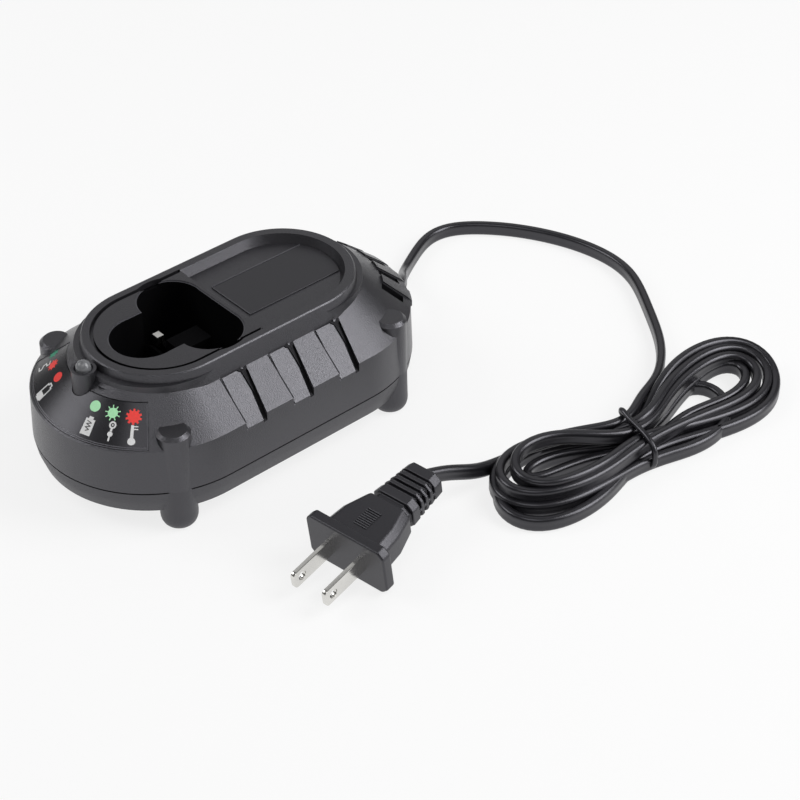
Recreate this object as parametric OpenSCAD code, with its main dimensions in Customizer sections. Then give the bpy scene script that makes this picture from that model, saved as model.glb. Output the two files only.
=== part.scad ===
// Tabletop charger for a stem-type power tool battery: a round-ended housing on four
// posts, a three-lobed battery well, a parts tray, a flat mains cord and a two-pin plug.
// Millimetres. The housing stands on z = 0, its nose points to -Y and its tail to +Y.

/* [Housing] */
// Distance between the centres of the two round ends
end_spacing = 60; // [56:1:72]
// Radius of the housing at the seam between the shells
seam_r = 40.2; // [39.5:0.1:42]
// Height of the seam between the shells
seam_z = 16.2; // [16:0.1:20]
// How much the upper side wall leans in from the seam to the shoulder
side_draft = 0.65; // [0.3:0.05:1]
// Height of the upper side wall from the seam to the shoulder
side_h = 16; // [15:0.5:18]
// Angle of the slope above the shoulder
slope_angle = 39; // [37:0.5:40]
// Height of the deck above the shoulder
deck_rise = 17.3; // [17:0.1:18.5]
// Wall thickness of both shells
wall = 2.6; // [2.2:0.1:2.8]
// Wall thickness under the slope
slope_wall = 3.4; // [3.2:0.1:3.8]
// Height of the lower shell's underside above the table
base_z = 7.5; // [6.5:0.1:8]
// Height of the shallow chamfer around the lower edge
base_chamfer_h = 4.3; // [3.5:0.1:5]
// Inset of the lower edge from the seam radius
base_inset = 2; // [1.6:0.1:2.4]
// Thickness of the material over the inside of the deck
deck_web = 2.3; // [2:0.1:2.6]
// Thickness of the lower shell's floor
floor_t = 2.4; // [2:0.1:2.6]

/* [Seam and lip] */
// Height of the shadow line at the seam
shadow_h = 0.5; // [0.4:0.1:0.8]
// Depth of the shadow line at the seam
shadow_d = 0.6; // [0.4:0.1:0.9]
// Height of the locating lip above the seam
lip_h = 2; // [1.5:0.1:3]
// Thickness of the locating lip
lip_t = 1.1; // [0.9:0.1:1.3]
// Clearance between parts that locate in one another
fit_gap = 0.15; // [0.1:0.05:0.25]

/* [Deck] */
// Distance between the centres of the deck's round ends
deck_spacing = 50; // [49:0.5:52]
// How far the deck sits towards the nose from the middle
deck_shift = 0.7; // [0:0.1:1.2]
// Outer radius of the deck's ring
deck_r = 25.2; // [25:0.1:26]
// How much wider the deck's side wall is at its foot
deck_lean = 2; // [1.5:0.1:2.4]
// Edge chamfer of the deck's ring
deck_edge = 0.4; // [0.2:0.1:0.6]
// Height of the crescent ledges below the deck
ledge_drop = 3; // [2.5:0.1:3.4]
// Radius of the crescent ledges
ledge_r = 26.1; // [25.8:0.1:26.4]
// Distance of the ledges' centres beyond the deck's round ends
ledge_shift = 2; // [1.5:0.1:2.5]
// Width of the groove between the well panel and the ring
groove_w = 1.2; // [0.9:0.1:1.4]
// Radius of the groove's middle line
groove_r = 21.7; // [21.5:0.1:22]
// Depth of the groove, which is the well panel's thickness
panel_t = 1.5; // [1.2:0.1:1.8]
// How far the well panel lies below the ring
panel_drop = 0.2; // [0.1:0.05:0.4]

/* [Battery well] */
// Radius of the nose lobe
nose_lobe_r = 11.4; // [11:0.1:11.6]
// Distance of the nose lobe's centre from the middle, towards the nose
nose_lobe_y = 31.6; // [31:0.1:32]
// Radius of the two rear lobes
rear_lobe_r = 10.9; // [10.5:0.1:11]
// Half the distance between the rear lobes
rear_lobe_x = 10.6; // [10.3:0.1:10.8]
// Distance of the rear lobes' centres from the middle, towards the nose
rear_lobe_y = 13.4; // [13.3:0.1:14]
// Wall thickness of the well
well_wall = 1.5; // [1.2:0.1:1.7]
// Height of the well's floor inside
well_floor_z = 14; // [13.5:0.1:14.5]
// Thickness of the well's floor
well_floor_t = 1.8; // [1.5:0.1:2]
// Width of the step around the well's mouth
mouth_step = 0.4; // [0.2:0.1:0.6]

/* [Terminals] */
// Half the width of the terminal block's cross wall
block_half_w = 10.2; // [10:0.1:10.6]
// Thickness of the terminal block's cross wall
block_t = 5.8; // [5:0.1:6.2]
// Distance of the cross wall's middle from the middle of the housing
block_y = 20.7; // [20.2:0.1:21]
// Height of the terminal block's cross wall above the well's floor
block_h = 22; // [18:0.5:23]
// Half the width of the terminal block's rib
block_rib_x = 4.2; // [3.8:0.1:4.8]
// Length of the terminal block's rib
block_rib_l = 9.6; // [8:0.1:10]
// Height of the rib above the cross wall
block_rib_rise = 4; // [2:0.5:5]
// Distance of each contact from the middle
contact_x = 8.4; // [8:0.1:8.5]
// Width of a contact strip
contact_w = 3; // [2.6:0.1:3]
// Depth of a folded contact
contact_d = 2.7; // [2.4:0.1:3]
// Thickness of a contact strip
contact_t = 0.8; // [0.6:0.1:0.9]
// Height of a contact above the terminal block's cross wall
contact_rise = 4; // [3:0.5:6]

/* [Tray and labels] */
// Depth of the tray below the deck
tray_depth = 3.2; // [2.8:0.1:3.4]
// Radius of the tray's floor
tray_r = 20.2; // [20:0.1:20.6]
// How much wider the tray is at its rim
tray_flare = 1.6; // [1.2:0.1:1.6]
// Distance of the tray's front edge from the middle, towards the nose
tray_front_y = 0.8; // [0.7:0.05:1]
// Half the width of the label on the tray
label_half_w = 10.2; // [9:0.1:12]
// Distance of the label's front edge behind the tray's front edge
label_setback = 4.2; // [3:0.1:6]
// Thickness of the labels
label_t = 0.35; // [0.3:0.05:0.45]
// Angle of the nose label to each side of the middle
nose_label_angle = 52; // [48:1:54]
// Inner radius of the nose label on the slope
nose_label_in = 26.9; // [26.6:0.1:27.5]
// Distance of the nose label's lower edge inside the shoulder
nose_label_margin = 0.75; // [0.65:0.05:1.5]
// Depth of the nose label's recess
nose_label_sink = 0.5; // [0.4:0.05:0.6]

/* [Slope panels] */
// Number of recessed panels on each side
panel_count = 3; // [2:1:3]
// Distance from one recessed panel to the next
panel_pitch = 19.4; // [19:0.1:19.8]
// Width of a recessed panel with its deep groove
panel_w = 8.1; // [7.5:0.1:9]
// Vertical depth of the recess at the foot of the deck
panel_top_drop = 0.7; // [0.5:0.1:0.9]
// Vertical depth of the recess at the shoulder
panel_low_drop = 2.2; // [1.8:0.1:2.3]
// Width of the deep groove at the tail side of each panel
slot_w = 1.5; // [1.2:0.1:1.8]
// Vertical depth of the deep groove
slot_drop = 0.9; // [0.7:0.1:1]
// How far the deep groove turns towards the tail on its way up
slot_turn = 10; // [6:1:12]
// Width of the fine groove at the nose side of each panel
line_w = 0.5; // [0.4:0.05:0.7]
// Vertical depth of the fine groove
line_drop = 0.5; // [0.3:0.1:0.7]

/* [Tail vents] */
// Number of vent slots in the tail's slope
vent_count = 6; // [4:2:6]
// Angle from one vent slot to the next
vent_step = 16.5; // [15:0.5:17]
// Width of a vent slot
vent_w = 3.4; // [3:0.1:4]
// Inner radius of the vent slots
vent_in = 29.7; // [29:0.1:30.5]
// Distance of the vent slots' outer ends inside the shoulder
vent_margin = 2.6; // [2:0.05:3.4]
// How far the louvres between the vent slots stand proud
louvre_rise = 0.6; // [0.4:0.05:0.8]
// Space between a louvre and the vent slots beside it
louvre_gap = 0.4; // [0.3:0.1:0.6]

/* [Posts and feet] */
// Distance of the posts from the middle, across the housing
post_x = 31.8; // [31.4:0.1:32.2]
// Distance of the posts beyond the centres of the round ends
post_y = 15.1; // [14.6:0.1:15.4]
// Radius of the tapered posts at their caps
post_r = 5.6; // [5.3:0.05:5.8]
// Height of the posts' flat caps above the shoulder
post_rise = 5.1; // [4:0.1:6]
// Chamfer of the caps
cap_edge = 1.2; // [0.8:0.1:1.5]
// Radius of the tapered posts at the feet
foot_r = 6.2; // [5.9:0.05:6.3]
// Height of the feet
foot_h = 8; // [7.6:0.1:8.5]
// Height of the rounded lower edge of a foot
foot_round_h = 4; // [3:0.1:4.4]
// Width of the rounded lower edge of a foot
foot_round_w = 2.4; // [1.8:0.1:2.5]

/* [Screws] */
// Radius of a housing screw's shank
screw_r = 1.45; // [1.3:0.05:1.5]
// Length of a housing screw's shank
screw_l = 17; // [15:0.5:20]
// Radius of a housing screw's head
screw_head_r = 2.6; // [2.4:0.05:2.7]
// Height of a screw head
screw_head_h = 2; // [1.6:0.1:2.2]
// Height of the seat of the screw heads above the table
screw_seat_z = 9; // [8.5:0.1:9.5]
// Clearance around screw shanks and heads
screw_gap = 0.25; // [0.2:0.05:0.3]

/* [Status light] */
// Distance of the light's boss inside the seam at the nose
boss_setback = 14.8; // [14:0.1:15]
// Radius of the boss
boss_r = 4.1; // [4:0.1:4.4]
// Drop of the boss's top below the deck
boss_drop = 1.1; // [0.8:0.1:1.4]
// Radius of the dished hole around the light
dish_r = 3.1; // [3:0.05:3.3]
// Depth of the dish
dish_depth = 1.2; // [1:0.1:1.6]
// Radius of the light's body
led_r = 2.5; // [2.4:0.05:2.6]
// How far the light stands above its boss before the dome
led_proud = 0.3; // [0.1:0.1:0.6]
// Length of the light's cylindrical body
led_body_l = 6; // [5:0.1:6.4]
// Radius of the light's leads
led_lead_r = 0.3; // [0.25:0.05:0.35]
// Half the distance between the light's leads
led_lead_x = 1.27; // [1:0.05:1.4]
// Size of the small board under the light, across
light_board_w = 20; // [18:0.5:21]
// Size of the small board under the light, along
light_board_l = 7.4; // [7:0.1:7.6]
// Height of the small board's top
light_board_z = 36.5; // [36:0.1:36.8]

/* [Circuit board] */
// Half the width of the main board
board_half_w = 25.2; // [24.4:0.1:25.3]
// Distance of the main board's front edge behind the middle
board_front_y = 1.6; // [1.5:0.1:2]
// Length of the main board
board_l = 52; // [51:0.5:52.5]
// Thickness of the boards
board_t = 1.6; // [1.2:0.1:1.8]
// Height of the standoffs above the lower shell's floor
standoff_h = 3.6; // [3.4:0.1:3.9]
// Radius of the standoffs
standoff_r = 3; // [2.6:0.1:3.2]
// Half the distance between the standoffs across the board
standoff_x = 21.5; // [21:0.1:22]
// Distance of the standoffs from the board's ends
standoff_in = 4.4; // [4:0.1:4.6]
// Radius of a board screw's shank
board_screw_r = 1.1; // [1:0.05:1.2]
// Radius of a board screw's head
board_screw_head_r = 2.1; // [1.9:0.05:2.2]
// Height of a board screw's head
board_screw_head_h = 1.5; // [1.2:0.1:1.8]
// Length of a board screw's shank
board_screw_l = 4.4; // [4:0.1:4.8]

/* [Components] */
// Width of the transformer's core
core_w = 24; // [20:0.5:25]
// Depth of the transformer's core
core_d = 10; // [8:0.5:11]
// Height of the transformer's core
core_h = 20; // [17:0.5:22]
// Thickness of the core's limbs
core_limb = 4; // [3.5:0.1:4.5]
// Radius of the input capacitor
cap_r = 7.5; // [6:0.5:8]
// Height of the input capacitor
cap_h = 20; // [16:0.5:22]
// Radius of the output capacitors
small_cap_r = 4; // [3:0.5:4.5]
// Height of the output capacitors
small_cap_h = 13; // [10:0.5:15]
// Outer radius of the choke
choke_r = 7; // [6:0.1:7.5]
// Thickness of the choke's ring
choke_t = 6; // [5:0.1:6.5]
// Thickness of the heat sink
sink_t = 2; // [1.5:0.1:2.5]
// Length of the heat sink
sink_l = 24; // [20:0.5:26]
// Height of the heat sink
sink_h = 17; // [14:0.5:18]

/* [Mains cord] */
// Width of the flat cord, standing on edge
cord_w = 5.2; // [4.6:0.1:5.4]
// Thickness of the flat cord
cord_t = 3.2; // [2.8:0.1:3.4]
// Radius of the cord guard's neck in the housing wall
guard_neck_r = 4; // [3.8:0.1:4.3]
// Radius of the cord guard's collars
guard_collar_r = 5.2; // [5:0.1:5.6]
// Thickness of the cord guard's collars
guard_collar_t = 1.6; // [1.2:0.1:2]
// Length of the tapered sleeve outside the housing
guard_l = 5; // [4:0.5:6]
// Radius of the sleeve at its tip
guard_tip_r = 3.1; // [2.9:0.1:3.4]
// Height of the coiled hank
hank_h = 11; // [10:0.5:12]
// Thickness of the tie around the hank
tie_t = 1.6; // [1.4:0.1:2]

/* [Plug] */
// Width of the plug's flange
flange_w = 31.5; // [29:0.5:33]
// Height of the plug's flange
flange_h = 18.4; // [17:0.2:19]
// Thickness of the plug's flange
flange_t = 3.8; // [3.4:0.1:4.2]
// Corner chamfer of the flange
flange_cut = 2.2; // [1.6:0.1:3]
// Width of the plug's body at the flange
plug_w = 24.6; // [23:0.2:26]
// Width of the plug's body at its rear
plug_rear_w = 17.6; // [16.4:0.2:18.6]
// Length from the flange's face to the end of the body
plug_l = 21.2; // [20:0.2:22]
// Thickness of the plug's body
plug_t = 12.4; // [11.6:0.2:13]
// Edge chamfer of the plug's body
plug_edge = 2.4; // [1.8:0.1:2.8]
// Distance between the blades
blade_spacing = 12.7; // [12.5:0.1:12.9]
// Width of a blade
blade_w = 6.35; // [6.1:0.05:6.5]
// Thickness of a blade
blade_t = 1.5; // [1.4:0.05:1.6]
// Length of a blade in front of the flange
blade_l = 17.9; // [15.9:0.1:18.2]
// Distance of a blade's hole from the flange
blade_hole_x = 14.2; // [11.8:0.1:14.4]
// Radius of a blade's hole
blade_hole_r = 1.6; // [1.5:0.05:1.7]
// Length of a blade inside the plug
blade_root = 9; // [7:0.5:12]
// Width of the plug's strain relief at its collar
relief_w = 16.2; // [15:0.2:17]
// Width of the strain relief at its end
relief_end_w = 13.4; // [12.5:0.2:14]
// Thickness of the strain relief
relief_t = 10.6; // [10:0.2:11.4]
// Depth of the neck in front of the collar
neck_cut = 1; // [0.6:0.1:1.4]
// Length of the neck
neck_l = 2.2; // [1.8:0.1:2.6]
// Length of the collar
collar_l = 3; // [2.6:0.1:3.4]
// Number of slots in the strain relief
relief_slots = 4; // [3:1:4]
// Distance from one slot to the next
relief_pitch = 2.5; // [2.4:0.05:2.6]
// Width of a slot
relief_slot_w = 1.1; // [0.9:0.1:1.3]
// Depth of a slot
relief_slot_d = 1.7; // [1.3:0.1:2]
// Height of the web that joins the ribs at half height
relief_web = 1; // [0.8:0.1:1.4]
// Length of the block behind the slots
relief_end_l = 3.2; // [2.8:0.1:3.6]

/* [Hidden] */

$fn = 64;
eps = 0.01;
// A length that reaches past any wall that it cuts
past = 5;
// Smallest gap kept between separate parts
part_gap = 0.2;

// Levels and radii of the housing
end_y = end_spacing / 2;
shoulder_z = seam_z + side_h;
shoulder_r = seam_r - side_draft;
slope_k = tan(slope_angle);
deck_z = shoulder_z + deck_rise;
deck_nose_y = -deck_spacing / 2 - deck_shift;
deck_tail_y = deck_spacing / 2 - deck_shift;
panel_z = deck_z - panel_drop;
seat_z = panel_z - panel_t;
tray_z = deck_z - tray_depth;
ledge_z = deck_z - ledge_drop;
ceiling_z = tray_z - deck_web;
base_r = seam_r - base_inset;
base_top_z = base_z + base_chamfer_h;
base_top_r = seam_r - base_inset * 0.3;
floor_z = base_z + floor_t;
post_top_z = shoulder_z + post_rise;
inner_r = seam_r - wall;
nose_label_out = shoulder_r - nose_label_margin;
vent_out = shoulder_r - vent_margin;
boss_y = end_y + seam_r - boss_setback;

// Height of the slope's surface at a distance r from the housing's spine
function slope_z(r) = shoulder_z + slope_k * (shoulder_r - r);
// Distance from the spine at which the slope's surface has the height z
function slope_r(z) = shoulder_r - (z - shoulder_z) / slope_k;
// Vertical thickness of the wall under the slope
slope_drop = slope_wall / cos(slope_angle);
ceiling_r = slope_r(ceiling_z + slope_drop);
// The light's board ends with its corners just inside the wall under the slope
light_corner_r = slope_r(light_board_z + slope_drop) - part_gap;
light_board_y = end_y + sqrt(pow(light_corner_r, 2) - pow(light_board_w / 2, 2)) - light_board_l / 2;

// A profile that starts and ends on the axis, with its mirror image
function both_sides(p) = concat(p, [for (i = [len(p) - 1 : -1 : 0]) if (p[i][0] > 0) [-p[i][0], p[i][1]]]);

// A round-ended solid: a profile turned about its two end centres and carried between them
module round_ended(p, y_nose, y_tail) {
    translate([0, y_nose, 0]) rotate_extrude(angle = 180, start = 180) polygon(p);
    translate([0, y_tail, 0]) rotate_extrude(angle = 180, start = 0) polygon(p);
    translate([0, y_tail, 0]) rotate([90, 0, 0]) linear_extrude(y_tail - y_nose) polygon(both_sides(p));
}

// Turns its children about the middle of the tail's round end
module rotate_about_tail(a) { translate([0, end_y, 0]) rotate(a) translate([0, -end_y, 0]) children(); }

// Height of the foot of the caps' chamfer, and radius of the tapered posts at a height
cap_z = post_top_z - cap_edge;
function post_radius(z) = foot_r + (post_r - foot_r) * z / cap_z;

// Places its children at the four posts
module at_posts() {
    for (sx = [-1, 1], sy = [-1, 1]) translate([sx * post_x, sy * (end_y + post_y), 0]) children();
}

// The three-lobed outline of the battery well, grown by g
module well_outline(g) {
    web_half_w = nose_lobe_r - 0.1;
    rear_edge_y = -rear_lobe_y + rear_lobe_r - 0.1;
    translate([0, -nose_lobe_y]) circle(nose_lobe_r + g);
    for (s = [-1, 1]) translate([s * rear_lobe_x, -rear_lobe_y]) circle(rear_lobe_r + g);
    translate([-web_half_w - g, -nose_lobe_y]) square([2 * (web_half_w + g), nose_lobe_y - rear_lobe_y]);
    translate([-rear_lobe_x, -rear_lobe_y]) square([2 * rear_lobe_x, rear_edge_y + rear_lobe_y + g]);
}

// The outline of the flat panel around the well, with edge radius r
module panel_outline(r) {
    intersection() {
        translate([0, deck_nose_y]) circle(r);
        translate([-r - 1, deck_nose_y - r - 1]) square([2 * r + 2, r + 1]);
    }
    translate([-r, deck_nose_y]) square([2 * r, -tray_front_y - deck_nose_y]);
}

upper_profile = [[0, seam_z], [seam_r, seam_z], [shoulder_r, shoulder_z],
    [slope_r(ledge_z - 1), ledge_z - 1], [0, ledge_z - 1]];
upper_cavity = [[0, seam_z - 1], [inner_r, seam_z - 1], [inner_r, seam_z],
    [shoulder_r - wall, slope_z(shoulder_r - wall) - slope_drop], [ceiling_r, ceiling_z], [0, ceiling_z]];
lower_profile = [[0, base_z], [base_r, base_z], [base_top_r, base_top_z],
    [seam_r, seam_z - shadow_h], [seam_r - shadow_d, seam_z - shadow_h], [seam_r - shadow_d, seam_z],
    [0, seam_z]];
lower_cavity = [[0, floor_z], [base_r - wall, floor_z], [base_top_r - wall, base_top_z],
    [inner_r, seam_z - shadow_h], [inner_r, seam_z + 1], [0, seam_z + 1]];
deck_foot_z = ledge_z - 6;
deck_profile = [[0, deck_foot_z], [deck_r + deck_lean, deck_foot_z], [deck_r, deck_z - deck_edge],
    [deck_r - deck_edge, deck_z], [0, deck_z]];
tray_profile = [[0, tray_z], [tray_r, tray_z], [tray_r + tray_flare, deck_z],
    [tray_r + tray_flare, deck_z + 1], [0, deck_z + 1]];

// Outer shape of the upper shell without its posts
module upper_form() {
    round_ended(upper_profile, -end_y, end_y);
    round_ended(deck_profile, deck_nose_y, deck_tail_y);
    for (y = [deck_nose_y - ledge_shift, deck_tail_y + ledge_shift])
        translate([0, y, deck_foot_z]) cylinder(h = ledge_z - deck_foot_z, r = ledge_r);
    translate([0, -boss_y, shoulder_z]) cylinder(h = deck_z - boss_drop - shoulder_z, r = boss_r);
}

// Middles of the recessed panels, counted from the nose
function panel_y(i) = (i - (panel_count - 1) / 2) * panel_pitch + 1.35;

panel_in_x = deck_r + 1.3;
panel_out_x = seam_r + 3;
panel_top_z = slope_z(panel_in_x) - panel_top_drop;
panel_low_z = slope_z(shoulder_r) - panel_low_drop;
panel_k = (panel_top_z - panel_low_z) / (shoulder_r - panel_in_x);

// Space above one recessed panel's surface, lowered by d, in the X-Z plane
module panel_section(d) {
    fall = panel_k * (panel_out_x - panel_in_x);
    polygon([[panel_in_x, panel_top_z - d], [panel_out_x, panel_top_z - d - fall],
        [panel_out_x, panel_top_z + 2], [panel_in_x, panel_top_z + 2]]);
}

// A band of the recess, lowered by d, from y to y + w at the shoulder and turned by a, on the +X side
module panel_band(y, w, d, a) {
    translate([shoulder_r, y, 0]) rotate(-a) translate([-shoulder_r, w, 0]) rotate([90, 0, 0])
        linear_extrude(w) panel_section(d);
}

// The recess of one panel with its two grooves, on the +X side
module panel_recess() {
    panel_band(-panel_w / 2, panel_w, 0, 0);
    panel_band(0, panel_w / 2, 0, slot_turn);
    panel_band(panel_w / 2 - slot_w, slot_w, slot_drop, slot_turn);
    panel_band(-panel_w / 2 - line_w / 2, line_w, line_drop, slot_turn / 4);
}

// A band on the nose's slope between two radii and between the depths d0 and d1 below the surface
module nose_band(r0, r1, d0, d1, a) {
    translate([0, -end_y, 0]) rotate_extrude(angle = 2 * a, start = 270 - a)
        polygon([[r0, slope_z(r0) - d0], [r1, slope_z(r1) - d0], [r1, slope_z(r1) - d1],
            [r0, slope_z(r0) - d1]]);
}

// A louvre between two vent slots, which reaches over the shoulder
module louvre() {
    a = vent_step - 2 * asin((vent_w / 2 + louvre_gap) / vent_in);
    foot_r = shoulder_r + louvre_rise;
    translate([0, end_y, 0]) rotate_extrude(angle = a, start = 90 - a / 2)
        polygon([[vent_in, slope_z(vent_in) - 1], [vent_in + louvre_rise, slope_z(vent_in) + louvre_rise / 2],
            [shoulder_r - 1, slope_z(shoulder_r - 1) + louvre_rise], [foot_r, shoulder_z - 0.4],
            [foot_r, shoulder_z - 2.4], [shoulder_r - 1, shoulder_z - 4]]);
}

// A rounded groove for the cord guard's neck through the tail's wall
module guard_hole(r) {
    translate([0, end_y + inner_r - past, seam_z]) rotate([-90, 0, 0]) cylinder(h = wall + 2 * past, r = r);
}

module top_shell() {
    light_pin_x = light_board_w / 2 - 3;
    color([0.13, 0.13, 0.14]) difference() {
        union() {
            difference() {
                upper_form();
                round_ended(upper_cavity, -end_y, end_y);
            }
            at_posts() {
                translate([0, 0, seam_z]) cylinder(h = cap_z - seam_z, r1 = post_radius(seam_z), r2 = post_r);
                translate([0, 0, cap_z]) cylinder(h = cap_edge, r1 = post_r, r2 = post_r - cap_edge);
            }
            for (i = [1 : vent_count - 1]) rotate_about_tail((i - vent_count / 2) * vent_step) louvre();
            // Pins that carry the light's board
            for (s = [-1, 1]) translate([s * light_pin_x, -light_board_y, light_board_z])
                cylinder(h = ceiling_z - light_board_z, r = 1.6);
        }
        // Seat and opening for the battery well
        translate([0, 0, seat_z]) linear_extrude(past) panel_outline(groove_r + groove_w / 2);
        translate([0, 0, seam_z]) linear_extrude(deck_z) well_outline(well_wall + part_gap);
        // Tray
        difference() {
            round_ended(tray_profile, 0, deck_tail_y);
            translate([-deck_r, -2 * deck_r - tray_front_y, 0]) cube([2 * deck_r, 2 * deck_r, deck_z + past]);
        }
        translate([-tray_r, -tray_front_y, tray_z]) cube([2 * tray_r, tray_front_y + 1, past]);
        // Recessed panels
        for (m = [0, 1]) mirror([m, 0, 0]) for (i = [0 : panel_count - 1])
            translate([0, panel_y(i), 0]) panel_recess();
        // Vent slots
        for (i = [0 : vent_count - 1]) translate([0, end_y, 0]) rotate((i - (vent_count - 1) / 2) * vent_step)
            translate([-vent_w / 2, vent_in, shoulder_z - past])
                cube([vent_w, vent_out - vent_in, deck_rise]);
        // Nose label recess, which stops at the light's boss
        difference() {
            nose_band(nose_label_in - part_gap, nose_label_out + part_gap, -past, nose_label_sink,
                nose_label_angle + 0.4);
            translate([0, -boss_y, shoulder_z - past]) cylinder(h = deck_rise + 2 * past, r = boss_r);
        }
        // Status light
        translate([0, -boss_y, deck_z - boss_drop - dish_depth]) cylinder(h = past, r = dish_r);
        translate([0, -boss_y, light_board_z + 1]) cylinder(h = deck_rise, r = led_r + fit_gap);
        // Screw pilots
        at_posts() translate([0, 0, seam_z - 1])
            cylinder(h = screw_seat_z + screw_l - seam_z + 2, r = screw_r + 0.05);
        guard_hole(guard_neck_r + fit_gap);
    }
}

// The boss of the light is cut clear of the label's recess
module boss_skirt() {
    translate([0, -boss_y, shoulder_z]) cylinder(h = deck_rise, r = boss_r + part_gap);
}

module foot() {
    steps = 6;
    flat_r = foot_r - foot_round_w;
    rotate_extrude() polygon(concat([[0, 0], [flat_r, 0]],
        [for (i = [1 : steps]) [flat_r + foot_round_w * sin(90 * i / steps),
            foot_round_h * (1 - cos(90 * i / steps))]], [[post_radius(foot_h), foot_h], [0, foot_h]]));
}

module bottom_shell() {
    lip_out = inner_r - fit_gap;
    color([0.12, 0.12, 0.13]) difference() {
        union() {
            difference() {
                round_ended(lower_profile, -end_y, end_y);
                round_ended(lower_cavity, -end_y, end_y);
            }
            // Locating lip, which stops short of the posts
            difference() {
                round_ended([[0, seam_z - 3], [inner_r + 0.4, seam_z - 3], [inner_r + 0.4, seam_z - 2],
                    [lip_out, seam_z - 2], [lip_out, seam_z + lip_h], [0, seam_z + lip_h]], -end_y, end_y);
                round_ended([[0, seam_z - 4], [lip_out - lip_t, seam_z - 4],
                    [lip_out - lip_t, seam_z + lip_h + 1], [0, seam_z + lip_h + 1]], -end_y, end_y);
                at_posts() translate([0, 0, seam_z])
                    cylinder(h = lip_h + 1, r = post_radius(seam_z) + part_gap);
            }
            at_posts() {
                foot();
                translate([0, 0, foot_h]) cylinder(h = seam_z - foot_h, r1 = post_radius(foot_h),
                    r2 = post_radius(seam_z));
            }
            // Standoffs for the circuit board
            for (sx = [-1, 1], y = [board_front_y + standoff_in, board_front_y + board_l - standoff_in])
                translate([sx * standoff_x, y, floor_z - 1]) cylinder(h = standoff_h + 1, r = standoff_r);
            // Ribs under the battery well
            for (y = [-nose_lobe_y, -rear_lobe_y])
                translate([-8, y - 1, floor_z - 1]) cube([16, 2, well_floor_z - well_floor_t - floor_z + 1]);
        }
        at_posts() {
            translate([0, 0, -1]) cylinder(h = screw_seat_z + 1, r = screw_head_r + screw_gap);
            translate([0, 0, screw_seat_z - 1]) cylinder(h = seam_z, r = screw_r + screw_gap);
        }
        for (sx = [-1, 1], y = [board_front_y + standoff_in, board_front_y + board_l - standoff_in])
            translate([sx * standoff_x, y, floor_z]) cylinder(h = past, r = board_screw_r + 0.05);
        // Recess for the rating plate
        translate([-plate_w / 2, -plate_l / 2, base_z - 1]) cube([plate_w, plate_l, 1 + label_t + 0.1]);
        // Cooling slots in the floor
        for (i = [-3 : 3]) translate([i * 5 - 0.9, end_y - 4, base_z - 1]) cube([1.8, 16, floor_t + 2]);
        guard_hole(guard_neck_r + fit_gap);
        guard_lip_cut();
    }
}

// Room for the cord guard's inner collar in the lip
module guard_lip_cut() {
    translate([-guard_collar_r - part_gap, end_y + inner_r - lip_t - 3, seam_z - guard_collar_r - part_gap])
        cube([2 * (guard_collar_r + part_gap), lip_t + 3, 2 * guard_collar_r]);
}

plate_w = 42;
plate_l = 26;

module battery_well() {
    contact_slot = contact_t + 2 * part_gap;
    color([0.1, 0.1, 0.11]) difference() {
        union() {
            difference() {
                translate([0, 0, seat_z]) linear_extrude(panel_t) panel_outline(groove_r - groove_w / 2);
                translate([0, 0, seat_z - 1]) linear_extrude(panel_t + 2) well_outline(0);
            }
            translate([0, 0, well_floor_z - well_floor_t])
                linear_extrude(seat_z - part_gap - well_floor_z + well_floor_t) well_outline(well_wall);
            // Collar that joins the well to its panel
            intersection() {
                translate([0, 0, seat_z - 1]) linear_extrude(1) well_outline(well_wall);
                translate([0, 0, seat_z - 1]) linear_extrude(1) panel_outline(groove_r - groove_w / 2);
            }
        }
        translate([0, 0, well_floor_z]) linear_extrude(deck_z) well_outline(0);
        translate([0, 0, panel_z - mouth_step]) linear_extrude(past) well_outline(mouth_step);
        for (s = [-1, 1]) translate([s * contact_x, -block_y - (contact_d - contact_t) / 2, well_floor_z])
            cube([contact_w + 2 * part_gap, contact_slot, 3 * well_floor_t], center = true);
    }
}

module terminal_block() {
    color([0.08, 0.08, 0.09]) translate([0, -block_y, well_floor_z]) difference() {
        union() {
            translate([-block_half_w, -block_t / 2, 0]) cube([2 * block_half_w, block_t, block_h]);
            translate([-block_rib_x, 0, 0])
                cube([2 * block_rib_x, block_t / 2 + block_rib_l, block_h + block_rib_rise]);
        }
        for (s = [-1, 1]) translate([s * contact_x - contact_w / 2 - 0.1, -contact_d / 2 - 0.1, -1])
            cube([contact_w + 0.2, contact_d + 0.2, block_h + 2]);
    }
}

// One folded contact: a long leg through the well's floor, a short leg and a flat top
module contact() {
    top = well_floor_z + block_h + contact_rise;
    low = floor_z + 2 * wire_r + 0.1;
    translate([-contact_w / 2, -contact_d / 2, low]) cube([contact_w, contact_t, top - low]);
    translate([-contact_w / 2, contact_d / 2 - contact_t, top - block_h])
        cube([contact_w, contact_t, block_h]);
    translate([-contact_w / 2, -contact_d / 2, top - contact_t]) cube([contact_w, contact_d, contact_t]);
}

module terminals() {
    color([0.85, 0.85, 0.86]) for (s = [-1, 1]) translate([s * contact_x, -block_y, 0]) contact();
}

module tray_label() {
    color([0.15, 0.15, 0.16]) translate([0, 0, tray_z]) linear_extrude(label_t) {
        intersection() {
            translate([0, deck_tail_y]) circle(tray_r - part_gap);
            translate([-label_half_w, deck_tail_y]) square([2 * label_half_w, tray_r]);
        }
        translate([-label_half_w, label_setback - tray_front_y])
            square([2 * label_half_w, deck_tail_y - label_setback + tray_front_y]);
    }
}

module nose_label() {
    color([0.09, 0.09, 0.1]) difference() {
        nose_band(nose_label_in, nose_label_out, nose_label_sink - label_t, nose_label_sink,
            nose_label_angle);
        boss_skirt();
    }
}

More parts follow.
